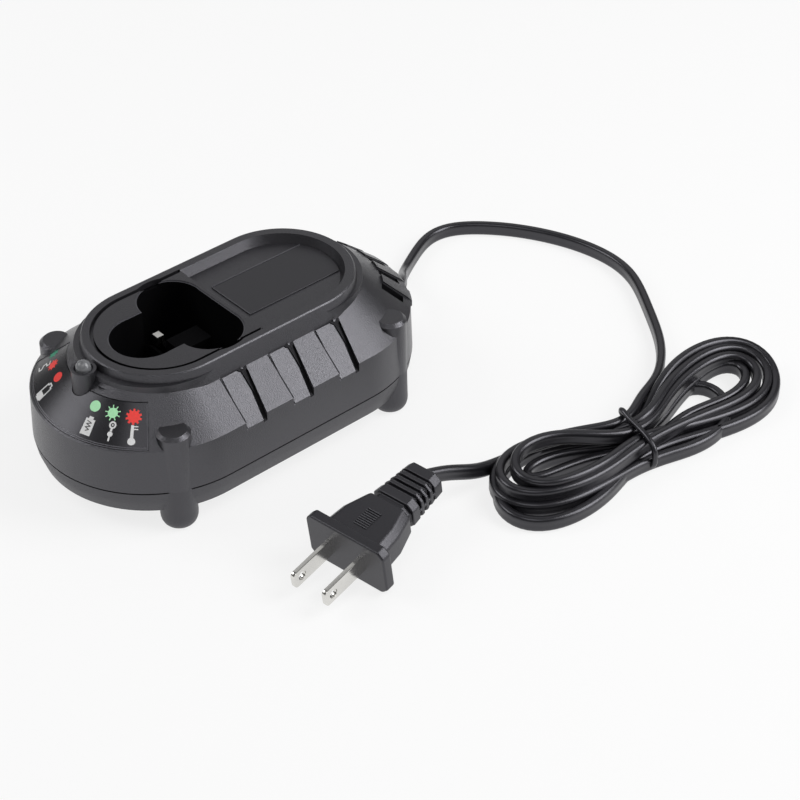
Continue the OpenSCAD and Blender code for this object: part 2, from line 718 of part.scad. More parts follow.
module status_light() {
    foot_z = deck_z - boss_drop + led_proud - led_body_l;
    color([0.85, 0.87, 0.88, 0.7]) translate([0, -boss_y, 0]) {
        translate([0, 0, foot_z]) cylinder(h = led_body_l, r = led_r);
        translate([0, 0, foot_z + led_body_l]) intersection() {
            sphere(led_r);
            translate([-led_r, -led_r, -0.5]) cube([2 * led_r, 2 * led_r, led_r + 1]);
        }
        for (s = [-1, 1]) translate([s * led_lead_x, 0, light_board_z - board_t - 0.6])
            cylinder(h = foot_z - light_board_z + board_t + 1.6, r = led_lead_r);
    }
}

module light_board() {
    color([0.1, 0.35, 0.16]) difference() {
        translate([-light_board_w / 2, -light_board_y - light_board_l / 2, light_board_z - board_t])
            cube([light_board_w, light_board_l, board_t]);
        for (s = [-1, 1]) translate([s * led_lead_x, -boss_y, light_board_z - 2 * board_t])
            cylinder(h = 3 * board_t, r = led_lead_r + 0.1);
    }
}

board_z = floor_z + standoff_h;
board_top = board_z + board_t;
board_rear_y = board_front_y + board_l;

module circuit_board() {
    color([0.1, 0.35, 0.16]) difference() {
        translate([-board_half_w, board_front_y, board_z]) cube([2 * board_half_w, board_l, board_t]);
        for (sx = [-1, 1], y = [board_front_y + standoff_in, board_rear_y - standoff_in])
            translate([sx * standoff_x, y, board_z - 1]) cylinder(h = board_t + 2, r = board_screw_r + 0.3);
        for (s = [-1, 1]) translate([s * lead_x, lead_y, board_z - 1])
            cylinder(h = board_t + 2, r = wire_r + 0.1);
        for (s = [-1, 1]) translate([s * light_run_x, light_rise_y, board_z - 1])
            cylinder(h = board_t + 2, r = light_wire_r + 0.1);
    }
}

// Places of the components, as shares of the board's half width and length
core_x = board_half_w * 0.31;
core_y = board_front_y + board_l * 0.46;
cap_x = -board_half_w * 0.52;
cap_y = board_front_y + board_l * 0.77;
choke_x = -board_half_w * 0.58;
choke_y = board_front_y + board_l * 0.44;
small_cap_x = -board_half_w * 0.34;
small_cap_y = board_front_y + board_l * 0.145;
fuse_x = board_half_w * 0.15;
lead_x = contact_x;
lead_y = board_front_y + 2.5;
fuse_r = 2.6;
fuse_l = 12;
fuse_edge = 2.6;
coil_out = core_w / 2 - 1.5 * core_limb;
rectifier_size = [13, 3.6, 10];
rectifier_gap = 2;
sink_edge = 1.5;
sink_shift = 2;
transistor_size = [1.6, 6, 14];
wire_r = 0.9;
mains_wire_r = 1.1;
mains_wire_x = 1.6;
light_wire_r = 0.5;
light_wire_x = light_board_w / 2 - 1;
light_wire_y = light_board_y - light_board_l / 2 + 1;
light_run_x = board_half_w * 0.6;
light_rise_y = board_front_y + 1;
mains_lap = 3;
guard_inner_y = end_y + inner_r - lip_t - part_gap - guard_collar_t;
guard_face_y = end_y + seam_r + part_gap;

module transformer_core() {
    color([0.2, 0.2, 0.21]) translate([core_x, core_y, board_top]) difference() {
        translate([-core_w / 2, -core_d / 2, 0]) cube([core_w, core_d, core_h]);
        for (s = [-1, 1]) translate([s * (core_w - core_limb) / 4, 0, core_h / 2])
            cube([core_w / 2 - 1.5 * core_limb, core_d + 2, core_h - 2 * core_limb], center = true);
    }
}

module transformer_coil() {
    coil_w = core_limb + 2 * (coil_out - part_gap);
    coil_h = core_h - 2 * core_limb - 2 * part_gap;
    color([0.85, 0.75, 0.3]) translate([core_x, core_y, board_top + core_h / 2]) difference() {
        cube([coil_w, core_d + 2 * coil_out, coil_h], center = true);
        cube([core_limb + 2 * fit_gap, core_d + 2 * fit_gap, coil_h + 1], center = true);
    }
}

module input_capacitor() {
    color([0.12, 0.12, 0.2]) translate([cap_x, cap_y, board_top]) cylinder(h = cap_h, r = cap_r);
}

module output_capacitors() {
    small_cap_gap = 1;
    color([0.15, 0.2, 0.3]) for (s = [-1, 1])
        translate([small_cap_x + s * (small_cap_r + small_cap_gap / 2), small_cap_y, board_top])
            cylinder(h = small_cap_h, r = small_cap_r);
}

module line_choke() {
    color([0.7, 0.35, 0.15]) translate([choke_x, choke_y, board_top])
        difference() {
            cylinder(h = choke_t, r = choke_r);
            translate([0, 0, -1]) cylinder(h = choke_t + 2, r = choke_r / 2);
        }
}

module line_fuse() {
    color([0.75, 0.75, 0.7]) translate([fuse_x, board_rear_y - fuse_edge - fuse_r, board_top + fuse_r])
        rotate([0, 90, 0]) cylinder(h = fuse_l, r = fuse_r);
}

module bridge_rectifier() {
    color([0.1, 0.1, 0.1])
        translate([core_x - core_w / 3, core_y + core_d / 2 + coil_out + rectifier_gap, board_top])
        cube(rectifier_size);
}

module heat_sink() {
    color([0.75, 0.76, 0.78])
        translate([board_half_w - sink_t - sink_edge, core_y - sink_l / 2 + sink_shift, board_top])
        cube([sink_t, sink_l, sink_h]);
}

module power_transistor() {
    from_x = board_half_w - sink_t - sink_edge - transistor_size[0];
    color([0.08, 0.08, 0.08]) translate([from_x, core_y + core_d / 2 + sink_shift, board_top])
        cube(transistor_size);
}

// A wire with a flat run, a bend and a rise to the board
module output_wire(x) {
    run_z = floor_z + wire_r + 0.1;
    from_y = -block_y - (contact_d - contact_t) / 2;
    translate([x, from_y, run_z]) rotate([-90, 0, 0]) cylinder(h = lead_y - from_y, r = wire_r);
    translate([x, lead_y, run_z]) sphere(wire_r);
    translate([x, lead_y, run_z]) cylinder(h = board_top + 0.8 - run_z, r = wire_r);
}

module output_leads() {
    color([0.75, 0.1, 0.1]) for (s = [-1, 1]) output_wire(s * lead_x);
}

module mains_leads() {
    run = guard_inner_y - (board_rear_y - mains_lap);
    color([0.15, 0.15, 0.15]) for (s = [-1, 1])
        translate([s * mains_wire_x, board_rear_y - mains_lap, board_top + mains_wire_r]) rotate([-90, 0, 0])
            cylinder(h = run, r = mains_wire_r);
}

// Two thin wires from the light's board, down the nose and beside the well to the main board
module light_leads() {
    run_z = floor_z + light_wire_r;
    color([0.9, 0.9, 0.9]) for (s = [-1, 1]) {
        translate([s * light_wire_x, -light_wire_y, run_z])
            cylinder(h = light_board_z - board_t - run_z, r = light_wire_r);
        translate([s * light_wire_x, -light_wire_y, run_z]) sphere(light_wire_r);
        translate([s * light_wire_x, -light_wire_y, run_z]) rotate([0, s * 90, 0])
            cylinder(h = light_run_x - light_wire_x, r = light_wire_r);
        translate([s * light_run_x, -light_wire_y, run_z]) sphere(light_wire_r);
        translate([s * light_run_x, -light_wire_y, run_z]) rotate([-90, 0, 0])
            cylinder(h = light_wire_y + light_rise_y, r = light_wire_r);
        translate([s * light_run_x, light_rise_y, run_z]) sphere(light_wire_r);
        translate([s * light_run_x, light_rise_y, run_z])
            cylinder(h = board_top + 0.6 - run_z, r = light_wire_r);
    }
}

module board_screws() {
    color([0.7, 0.7, 0.72]) for (sx = [-1, 1], y = [board_front_y + standoff_in, board_rear_y - standoff_in])
        translate([sx * standoff_x, y, board_top]) difference() {
            union() {
                cylinder(h = board_screw_head_h, r = board_screw_head_r);
                translate([0, 0, -board_screw_l]) cylinder(h = board_screw_l + 0.1, r = board_screw_r);
            }
            for (a = [0, 90]) rotate(a) translate([-1.2, -0.25, board_screw_head_h - 0.7])
                cube([2.4, 0.5, 1]);
        }
}

module housing_screws() {
    color([0.6, 0.6, 0.62]) at_posts() translate([0, 0, screw_seat_z]) difference() {
        union() {
            cylinder(h = screw_l, r = screw_r);
            translate([0, 0, -screw_head_h]) cylinder(h = screw_head_h, r = screw_head_r);
        }
        for (a = [0, 90]) rotate(a) translate([-1.5, -0.35, -screw_head_h - 1]) cube([3, 0.7, 2]);
    }
}

module rating_plate() {
    color([0.6, 0.6, 0.62]) translate([-plate_w / 2 + part_gap, -plate_l / 2 + part_gap, base_z + 0.1])
        cube([plate_w - 2 * part_gap, plate_l - 2 * part_gap, label_t]);
}

module cord_guard() {
    color([0.1, 0.1, 0.1]) translate([0, 0, seam_z]) rotate([-90, 0, 0]) {
        translate([0, 0, guard_inner_y]) cylinder(h = guard_collar_t, r = guard_collar_r);
        translate([0, 0, guard_inner_y]) cylinder(h = guard_face_y - guard_inner_y, r = guard_neck_r);
        translate([0, 0, guard_face_y]) cylinder(h = guard_collar_t, r = guard_collar_r);
        translate([0, 0, guard_face_y + guard_collar_t])
            cylinder(h = guard_l, r1 = guard_neck_r, r2 = guard_tip_r);
    }
}

// Route of the cord from the guard to the hank
lead_route = [[0, 77, 16.2], [-1.3, 80.4, 16], [-5, 84.2, 14.6], [-10.2, 88.6, 10.8], [-15.8, 93.4, 6.2],
    [-21, 99, 3.2], [-26, 107.5, 2.7], [-31, 117, 2.7], [-33.4, 124.5, 2.7], [-31.6, 132.5, 2.7],
    [-25, 141, 2.7],
    [-16, 149, 2.7], [-6, 155.2, 2.7], [5, 160, 2.7], [15.5, 162.6, 2.7], [26, 163.2, 2.7],
    [36, 161, 2.7], [46, 155.6, 2.7], [56, 149, 2.7], [66, 142.4, 2.7], [75, 135, 3.2], [82, 127, 4.4],
    [88.2, 118.2, 5.4], [92.7, 104.8, 7]];
// Route of the cord from the hank to the plug
tail_route = [[83.5, 46.4, 4.4], [83.8, 39.4, 6], [84.6, 32.5, 9.5], [82.6, 24, 13.4], [81.9, 15.6, 15.3]];

// Direction of a route at its point i
function route_dir(p, i) = let (a = p[max(i - 1, 0)], b = p[min(i + 1, len(p) - 1)], d = b - a) d / norm(d);
// A ring of the flat cord, standing on edge, about point i of a route
function cord_ring(p, i, sides) =
    let (d = route_dir(p, i), s = cross(d, [0, 0, 1]) / norm(cross(d, [0, 0, 1])),
    u = cross(s, d)) [for (k = [0 : sides - 1]) p[i] + s * (cord_t / 2 * cos(360 * k / sides))
    + u * (cord_w / 2 * sin(360 * k / sides))];

// A closed tube of the flat cord along a route
module cord_tube(p) {
    sides = 8;
    n = len(p);
    pts = [for (i = [0 : n - 1]) each cord_ring(p, i, sides)];
    walls = [for (i = [0 : n - 2], k = [0 : sides - 1]) [i * sides + k, i * sides + (k + 1) % sides,
        (i + 1) * sides + (k + 1) % sides, (i + 1) * sides + k]];
    ends = [[for (k = [sides - 1 : -1 : 0]) k], [for (k = [0 : sides - 1]) (n - 1) * sides + k]];
    polyhedron(pts, concat(walls, ends), convexity = 6);
}

module cord_lead() { color([0.08, 0.08, 0.08]) cord_tube(lead_route); }
module cord_tail() { color([0.08, 0.08, 0.08]) cord_tube(tail_route); }

// Ends and waist of the hank on the table
hank_near = [100.4, 50.8];
hank_near_r = 19.2;
hank_far = [105.8, 139.2];
hank_far_r = 18.4;
waist = [107, 88.5];
waist_r = 9.8;
waist_turn = -12;

module hank_outline() {
    hull() {
        translate(hank_near) circle(hank_near_r, $fn = 32);
        translate(waist) circle(waist_r, $fn = 24);
    }
    hull() {
        translate(hank_far) circle(hank_far_r, $fn = 32);
        translate(waist) circle(waist_r, $fn = 24);
    }
}

module at_waist() { translate([waist[0], waist[1], 0]) rotate(waist_turn) children(); }

module cord_hank() {
    color([0.08, 0.08, 0.08]) difference() {
        linear_extrude(hank_h) hank_outline();
        at_waist() translate([-25, -tie_t / 2 - part_gap, -1]) difference() {
            cube([50, tie_t + 2 * part_gap, hank_h + 2]);
            translate([25 - waist_r + 1.5, -1, tie_t + 1.1])
                cube([2 * waist_r - 3, tie_t + 3, hank_h - 2 * tie_t - 0.2]);
        }
    }
}

module hank_tie() {
    half_w = waist_r - 1.5 + fit_gap;
    color([0.1, 0.1, 0.1]) at_waist() translate([0, tie_t / 2, 0]) rotate([90, 0, 0])
        linear_extrude(tie_t) difference() {
            translate([-half_w - tie_t, 0]) square([2 * (half_w + tie_t), hank_h]);
            translate([-half_w, tie_t]) square([2 * half_w, hank_h - 2 * tie_t]);
        }
}

// Pose of the plug: its flange's face, heading and tilt. Along its own -Y the blades point out.
plug_at = [88.1, -22.9, 9.45];
plug_yaw = 8.6;
plug_tilt = 8.4;
module at_plug() { translate(plug_at) rotate([0, 0, plug_yaw]) rotate([plug_tilt, 0, 0]) children(); }

// A chamfered slab in the plug's X-Z plane, w wide and h high, with corners cut by c
module cut_slab(w, h, c) {
    polygon([[-w / 2 + c, -h / 2], [w / 2 - c, -h / 2], [w / 2, -h / 2 + c], [w / 2, h / 2 - c],
        [w / 2 - c, h / 2], [-w / 2 + c, h / 2], [-w / 2, h / 2 - c], [-w / 2, -h / 2 + c]]);
}

// A slab of the plug from y0 to y1
module plug_slab(y0, y1) { translate([0, y1, 0]) rotate([90, 0, 0]) linear_extrude(y1 - y0) children(); }

module blade_pockets(g) {
    for (s = [-1, 1]) translate([s * blade_spacing / 2, blade_root / 2, 0])
        cube([blade_t + 2 * g, blade_root + 2 * g, blade_w + 2 * g], center = true);
}

module plug_body() {
    mid_l = plug_l - flange_t;
    color([0.12, 0.12, 0.12]) at_plug() difference() {
        union() {
            plug_slab(0, flange_t) cut_slab(flange_w, flange_h, flange_cut);
            hull() {
                plug_slab(flange_t - 1, flange_t) cut_slab(plug_w, plug_t, plug_edge);
                plug_slab(flange_t + mid_l * 0.45, flange_t + mid_l * 0.5)
                    cut_slab(plug_w - 1.6, plug_t, plug_edge);
                plug_slab(plug_l - 0.4, plug_l) cut_slab(plug_rear_w, plug_t - 1, plug_edge);
            }
        }
        blade_pockets(0.1);
    }
}

module plug_relief() {
    ribs_l = relief_slots * relief_pitch;
    from = plug_l + neck_l;
    end_y1 = from + collar_l + ribs_l + relief_end_l;
    color([0.12, 0.12, 0.12]) at_plug() difference() {
        union() {
            plug_slab(plug_l + eps, from + 0.2)
                cut_slab(relief_w - 2 * neck_cut, relief_t - 2 * neck_cut, plug_edge);
            hull() {
                plug_slab(from, from + 0.4) cut_slab(relief_w, relief_t, plug_edge);
                plug_slab(end_y1 - 0.4, end_y1) cut_slab(relief_end_w, relief_t - 1, plug_edge);
            }
        }
        for (i = [0 : relief_slots - 1])
            translate([0, from + collar_l + (i + 0.5) * relief_pitch, 0]) difference() {
                cube([relief_w + 2, relief_slot_w, relief_t + 2], center = true);
                cube([relief_w - 2 * relief_slot_d - 1.5, relief_slot_w + 1, relief_t - 2 * relief_slot_d],
                    center = true);
                cube([relief_w + 4, relief_slot_w + 1, relief_web], center = true);
            }
    }
}

module plug_blades() {
    color([0.86, 0.86, 0.87]) at_plug() for (s = [-1, 1]) difference() {
        union() {
            translate([s * blade_spacing / 2 - blade_t / 2, -blade_l + blade_w / 4, -blade_w / 2])
                cube([blade_t, blade_l - blade_w / 4 + blade_root, blade_w]);
            translate([s * blade_spacing / 2 - blade_t / 2, -blade_l, -blade_w / 4])
                cube([blade_t, blade_w / 2, blade_w / 2]);
            for (k = [-1, 1])
                translate([s * blade_spacing / 2 - blade_t / 2, -blade_l + blade_w / 4, k * blade_w / 4])
                    rotate([0, 90, 0]) cylinder(h = blade_t, r = blade_w / 4);
        }
        translate([s * blade_spacing / 2 - blade_t, -blade_hole_x, 0]) rotate([0, 90, 0])
            cylinder(h = 2 * blade_t, r = blade_hole_r);
    }
}

top_shell();
bottom_shell();
battery_well();
terminal_block();
terminals();
tray_label();
nose_label();
status_light();
light_board();
circuit_board();
transformer_core();
transformer_coil();
input_capacitor();
output_capacitors();
line_choke();
line_fuse();
bridge_rectifier();
heat_sink();
power_transistor();
output_leads();
mains_leads();
light_leads();
board_screws();
housing_screws();
rating_plate();
cord_guard();
cord_lead();
cord_hank();
hank_tie();
cord_tail();
plug_body();
plug_relief();
plug_blades();
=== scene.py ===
import math

import bmesh
import bpy
from bpy.props import FloatProperty, FloatVectorProperty, IntProperty, PointerProperty
from bpy.types import Operator, Panel, PropertyGroup
from mathutils import Matrix, Vector


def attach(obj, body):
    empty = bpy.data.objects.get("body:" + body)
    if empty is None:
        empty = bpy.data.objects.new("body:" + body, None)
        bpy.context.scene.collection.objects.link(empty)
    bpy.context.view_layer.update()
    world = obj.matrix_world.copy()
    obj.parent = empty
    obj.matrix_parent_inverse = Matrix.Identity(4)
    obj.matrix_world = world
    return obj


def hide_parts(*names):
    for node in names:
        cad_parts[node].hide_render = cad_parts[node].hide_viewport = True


bl_info = {
    "name": "Tool battery charger",
    "version": (1, 0, 0),
    "blender": (4, 5, 0),
    "location": "3D View > Sidebar > Charger",
    "description": "Finishes and soft pieces of a tabletop tool battery charger, around its fixed frame",
    "category": "Object",
}

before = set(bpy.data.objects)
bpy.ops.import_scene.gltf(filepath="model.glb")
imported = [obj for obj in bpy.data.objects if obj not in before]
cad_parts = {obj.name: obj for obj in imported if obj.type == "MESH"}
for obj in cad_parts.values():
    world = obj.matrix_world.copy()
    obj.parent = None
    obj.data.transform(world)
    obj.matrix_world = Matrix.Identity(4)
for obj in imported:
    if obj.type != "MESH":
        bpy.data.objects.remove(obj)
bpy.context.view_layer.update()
MM = 0.001

# Sizes repeated from the frame's source, in millimetres: the nose's half circle and its sloped shoulder
END_Y = 30.0
SHOULDER_Z = 32.2
SHOULDER_R = 39.55
SLOPE = math.radians(39)
LABEL_SINK = 0.15
# The side panels and their turned grooves
PANEL_IN_X = 26.5
PANEL_TOP_Z = 42.07
PANEL_FALL = 0.925
PANEL_W = 8.1
PANEL_MIDDLES = (-18.05, 1.35, 20.75)
GROOVE_W = 1.5
GROOVE_TURN = math.radians(10)
# The tray's film, the battery well's lip, the plug and the hank's waist
TRAY_FILM_Z = 46.65
TRAY_FILM_X = 10.2
TRAY_FILM_FRONT = 3.4
TRAY_FILM_BACK = 41.3
WELL_LIP_Z = 48.85
WELL_TOP_Z = 49.28
PLUG_AT = Vector((88.1, -22.9, 9.45))
PLUG_YAW = math.radians(8.6)
PLUG_TILT = math.radians(8.4)
PLUG_TOP = 6.2
WAIST = Vector((107.0, 88.5))
WAIST_TURN = math.radians(-12)

# Sizes of what is added here, in millimetres. Reach of the painted shade in a groove: away from the middle
# of the housing, across the groove, and down from the panel's turned band
GROOVE_REACH = (PANEL_IN_X - 1.2, SHOULDER_R + 1.5)
GROOVE_ACROSS = (-0.2, GROOVE_W + 0.25)
GROOVE_DROP = (-0.25, 1.4)
# The sliver beside a groove takes that painted shade too. It starts this far from the panel's middle
SLIVER_START = PANEL_W / 2 - 0.35
SLIVER_ACROSS = (-1.6, 0.1)
SLIVER_DROP = (-0.6, 1.4)
# Outline of the painted shade at the head of a groove, along and across it; its height over the band and its
# depth
GROOVE_HEAD = [(-13.35, -1.9), (-13.35, 1.5), (-12.6, 1.5), (-12.2, 0.6), (-6.6, 0.5), (-12.2, -0.85),
    (-12.6, -1.9)]
HEAD_RISE = 0.47
HEAD_DEPTH = 0.8
# Painted shadow line on the nose side of a panel, under its step: X and Z of its ends, its gap to the panel,
# width, half its thickness
SHADOW_LINE_TOP = (26.9, 42.52)
SHADOW_LINE_FOOT = (39.5, 32.3)
SHADOW_LINE_GAP = 0.2
SHADOW_LINE_W = 0.3
SHADOW_LINE_HALF = 0.05
# Vinyl seat of a plug blade: its middle across and along the plug, and its three sizes
SEAT_X = 6.35
SEAT_Y = 0.84
SEAT_SIZE = (4.0, 1.6, 8.9)
# Grip ribs of the plug: the first one's place along it, their spacing, and how far their axis is over its face
RIB_COUNT = 9
RIB_FIRST = 7.9
RIB_PITCH = 0.88
RIB_RISE = 0.02
RIB_R = 0.3
RIB_LENGTH = 5.2
# Height over the label's film of the ink's and the beads' underside, of the ink, of ink on ink, of the beads
UNDER_FILM = -0.1
INK_RISE = 0.03
TOP_INK_RISE = 0.045
BEAD_RISE = 0.05
BEAD_HALF_W = 0.13
# Beads below the label: radius, and degrees to each side. Beads at its ends: radius, length inwards, degrees
LOWER_BEADS = ((38.15, 51.0), (38.62, 51.4))
END_BEAD_R = 38.6
END_BEAD_LENGTH = 11.3
END_BEAD_TURN = 51.5

# Where the camera stands, in millimetres, and how it is turned
CAMERA_AT = Vector((468.31, -341.17, 457.53))
CAMERA_AZIMUTH = math.radians(48.15)
CAMERA_ELEVATION = math.radians(38.01)
CAMERA_ROLL = math.radians(0.12)
SENSOR_W = 36

# The cord's way from its guard to the hank, through the hank's turns and on to the plug
LEAD = [
    (0, 77, 16.2), (-1.3, 80.4, 16), (-5, 84.2, 14.6), (-10.2, 88.6, 10.8), (-15.8, 93.4, 6.2),
    (-21, 99, 3.2), (-26, 107.5, 2.7), (-31, 117, 2.7), (-33.4, 124.5, 2.7), (-31.6, 132.5, 2.7), (-25, 141, 2.7),
    (-16, 149, 2.7), (-6, 155.2, 2.7), (5, 160, 2.7), (15.5, 162.6, 2.7), (26, 163.2, 2.7), (36, 161, 2.7),
    (46, 155.6, 2.7), (56, 149, 2.7), (66, 142.4, 2.7), (75, 135, 3.2), (82, 127, 4.4), (88.2, 118.2, 5.4)]
TURNS = [
    (92.7, 104.8, 7), (99.6, 90.1, 7.8), (93.3, 77.5, 7.5), (87.4, 64.6, 7), (83.7, 53, 6), (85.5, 43.6, 5),
    (89.8, 37.2, 4), (97, 34.8, 4), (105.5, 37.8, 4), (111.9, 47.2, 4), (114.3, 63.3, 4), (114.4, 86.9, 2.6),
    (119.1, 101.4, 2.6), (120.2, 112.1, 2.6), (117.7, 121.5, 2.6), (111.8, 128.8, 2.6), (103.4, 132, 2.6),
    (96.6, 130.3, 2.6), (95.2, 122.7, 2.6), (105.5, 88.8, 2.6), (99.4, 78.2, 2.6), (93, 67, 2.6),
    (90.2, 58, 2.6), (90.8, 51.2, 2.6), (93.4, 47.2, 2.6), (96.5, 48.6, 2.6), (97.4, 56, 2.6), (99.2, 65.5, 2.6),
    (102.8, 76.8, 2.6), (108.5, 88.2, 2.6), (106.4, 115.4, 3), (110, 127.6, 3.5), (110.5, 137.2, 4),
    (107.9, 144.4, 4.5), (102.7, 147.1, 5), (97.5, 145.6, 5), (95.6, 137.4, 4.5), (97, 124.6, 4),
    (102.6, 89.4, 2.6),
    (92.7, 80.7, 5), (87.2, 67.2, 6), (84.6, 54.4, 7), (85.6, 46.9, 7.5), (90, 39.6, 8), (96.8, 36.4, 8),
    (104.1, 38.8, 8), (110.2, 48.7, 8), (113.2, 64, 8), (111.4, 87.6, 7.8), (112.5, 113.3, 6),
    (114.8, 130.1, 5), (113.6, 141.3, 5), (109.5, 147.6, 5.5), (103, 149.6, 6.5), (98.1, 147.3, 7.5),
    (95.7, 135.8, 8), (97.3, 119.7, 8), (105.5, 88.8, 7.8), (100.4, 77.1, 9.5), (92.2, 67.5, 10.5),
    (88.5, 58.2, 11), (88.6, 50, 11), (92.9, 43.4, 10.5), (99.2, 40.9, 10), (105.7, 43.6, 10),
    (109.7, 52.7, 10), (111.2, 68.2, 9.5), (108.5, 88.2, 7.8), (113.9, 111.9, 4.5), (117.8, 133, 3.5),
    (115.7, 144.9, 3.5), (109.4, 152.1, 4.5), (101.5, 154.2, 6), (95.3, 149.3, 8), (92.5, 137.2, 9),
    (94.5, 119.6, 9), (102.6, 89.4, 7.8), (91.8, 81.8, 2.6), (87, 67.6, 2.6), (84.9, 53.4, 2.6),
    (88.5, 42.1, 2.6), (96.3, 34.2, 2.6), (104.3, 32.3, 2.6), (111.4, 35.1, 2.6), (116, 43.2, 2.6),
    (117.4, 60.2, 2.6), (111.4, 87.6, 2.6), (115.6, 105.3, 2.6), (119.5, 117, 2.6), (121.9, 129.5, 2.6),
    (120.7, 141.3, 2.6), (115.5, 149.9, 3), (108, 155.8, 4.5), (100.4, 156.3, 7), (93.3, 150.4, 9),
    (89.8, 139.1, 10), (91, 121.4, 10), (99.6, 90.1, 2.6), (93.8, 77.1, 5.5), (86.7, 65.5, 4),
    (83.3, 54.9, 3), (83.5, 46.4, 4.4), (83.8, 39.4, 6), (84.6, 32.5, 9.5), (82.6, 24, 13.4),
    (81.9, 15.6, 15.3)]


# ---------------------------------------------------------------- settings

class ChargerFinish(PropertyGroup):
    """Colours and surface of the moulded and printed pieces."""
    housing: FloatVectorProperty(name="Housing", description="Colour of the moulded housing",
        subtype="COLOR", size=3, min=0, max=1, default=(0.0135, 0.0133, 0.0150))
    film: FloatVectorProperty(name="Label film", description="Colour of the printed labels",
        subtype="COLOR", size=3, min=0, max=1, default=(0.0125, 0.0123, 0.0138))
    sheath: FloatVectorProperty(name="Cord sheath", description="Colour of the flat cord",
        subtype="COLOR", size=3, min=0, max=1, default=(0.0072, 0.0070, 0.0085))
    green: FloatVectorProperty(name="Green marks", description="Colour of the green status marks",
        subtype="COLOR", size=3, min=0, max=1, default=(0.46, 0.92, 0.52))
    red: FloatVectorProperty(name="Red marks", description="Colour of the red status marks",
        subtype="COLOR", size=3, min=0, max=1, default=(0.95, 0.045, 0.035))
    edge: FloatProperty(name="Moulded edge", description="Rounding of the housing's moulded edges",
        subtype="DISTANCE", unit="LENGTH", min=0.0001, max=0.0006, default=0.0003)


class ChargerCord(PropertyGroup):
    """Sizes of the flat mains cord."""
    width: FloatProperty(name="Width", description="Width of the flat cord, standing on edge",
        subtype="DISTANCE", unit="LENGTH", min=0.004, max=0.007, default=0.0052)
    thick: FloatProperty(name="Thickness", description="Thickness of the flat cord",
        subtype="DISTANCE", unit="LENGTH", min=0.002, max=0.004, default=0.0032)
    relax: IntProperty(name="Relaxing passes", description="How often the cord's line is smoothed",
        min=0, max=60, default=14)


class ChargerStudio(PropertyGroup):
    """Light level and camera."""
    lens: FloatProperty(name="Lens", description="Focal length of the camera", subtype="DISTANCE_CAMERA",
        unit="CAMERA", min=20, max=200, default=96.9)
    surround: FloatProperty(name="Surroundings", description="Strength of the white surroundings",
        min=0, max=2, default=0.14)
    key: FloatProperty(name="Key lamp", description="Power of the large lamp behind the charger",
        subtype="POWER", unit="POWER", min=0, max=60, default=4.9)


# ---------------------------------------------------------------- shader nodes

class Signal:
    """A node's output that takes part in shader maths."""

    def __init__(self, finish, socket):
        self.finish = finish
        self.socket = socket

    def maths(self, operation, *values):
        return self.finish.node("ShaderNodeMath", {"operation": operation}, dict(enumerate(values)))

    def __add__(self, other): return self.maths("ADD", self, other)
    def __radd__(self, other): return self.maths("ADD", other, self)
    def __sub__(self, other): return self.maths("SUBTRACT", self, other)
    def __rsub__(self, other): return self.maths("SUBTRACT", other, self)
    def __mul__(self, other): return self.maths("MULTIPLY", self, other)
    def __rmul__(self, other): return self.maths("MULTIPLY", other, self)
    def __gt__(self, other): return self.maths("GREATER_THAN", self, other)
    def __lt__(self, other): return self.maths("LESS_THAN", self, other)
    def __mod__(self, other): return self.maths("FLOORED_MODULO", self, other)
    def __abs__(self): return self.maths("ABSOLUTE", self)

    def clamped(self):
        return self.finish.node("ShaderNodeClamp", {}, {0: self})


class Finish:
    """One material, made of nodes."""

    def __init__(self, name):
        self.material = bpy.data.materials.new(name)
        self.material.use_nodes = True
        self.tree = self.material.node_tree
        self.tree.nodes.clear()
        self.place = None

    def node(self, kind, settings=None, inputs=None, output=0):
        made = self.tree.nodes.new(kind)
        for key, value in (settings or {}).items():
            setattr(made, key, value)
        for key, value in (inputs or {}).items():
            if isinstance(value, Signal):
                self.tree.links.new(value.socket, made.inputs[key])
            else:
                made.inputs[key].default_value = value
        return Signal(self, made.outputs[output])

    def coordinates(self):
        if self.place is None:
            self.place = self.node("ShaderNodeTexCoord", output="Object")
        return self.place

    def axis(self, letter):
        return self.node("ShaderNodeSeparateXYZ", {}, {0: self.coordinates()}, output="XYZ".index(letter))

    def noise(self, scale, detail=3.0, rough=0.5, at=None):
        return self.node("ShaderNodeTexNoise", {}, {"Vector": at or self.coordinates(), "Scale": scale,
            "Detail": detail, "Roughness": rough})

    def streaks(self, scales, detail=3.0):
        """Noise with a scale of its own along each axis."""
        stretched = self.node("ShaderNodeMapping", {}, {0: self.coordinates(), "Scale": scales})
        return self.noise(1.0, detail, 0.6, stretched)

    def cells(self, scale):
        return self.node("ShaderNodeTexVoronoi", {}, {"Vector": self.coordinates(), "Scale": scale})

    def blend(self, factor, a, b):
        return self.node("ShaderNodeMix", {"data_type": "RGBA"}, {0: factor,
            6: a if isinstance(a, Signal) else (*a, 1), 7: b if isinstance(b, Signal) else (*b, 1)}, output=2)

    def bump(self, height, strength, distance):
        return self.node("ShaderNodeBump", {}, {"Height": height, "Strength": strength, "Distance": distance})

    def surface(self, **values):
        return self.shown(self.node("ShaderNodeBsdfPrincipled", {},
            {key.replace("_", " "): value for key, value in values.items()}))

    def shown(self, shader):
        """The finished material, with a shader as its surface."""
        out = self.tree.nodes.new("ShaderNodeOutputMaterial")
        self.tree.links.new(shader.socket, out.inputs["Surface"])
        return self.material


# A slightly cool sheen, as on carbon-filled plastic
COOL = (0.93, 0.92, 1.0, 1.0)


def tone(colour, gain):
    """A colour made darker or lighter."""
    return tuple(c * gain for c in colour)


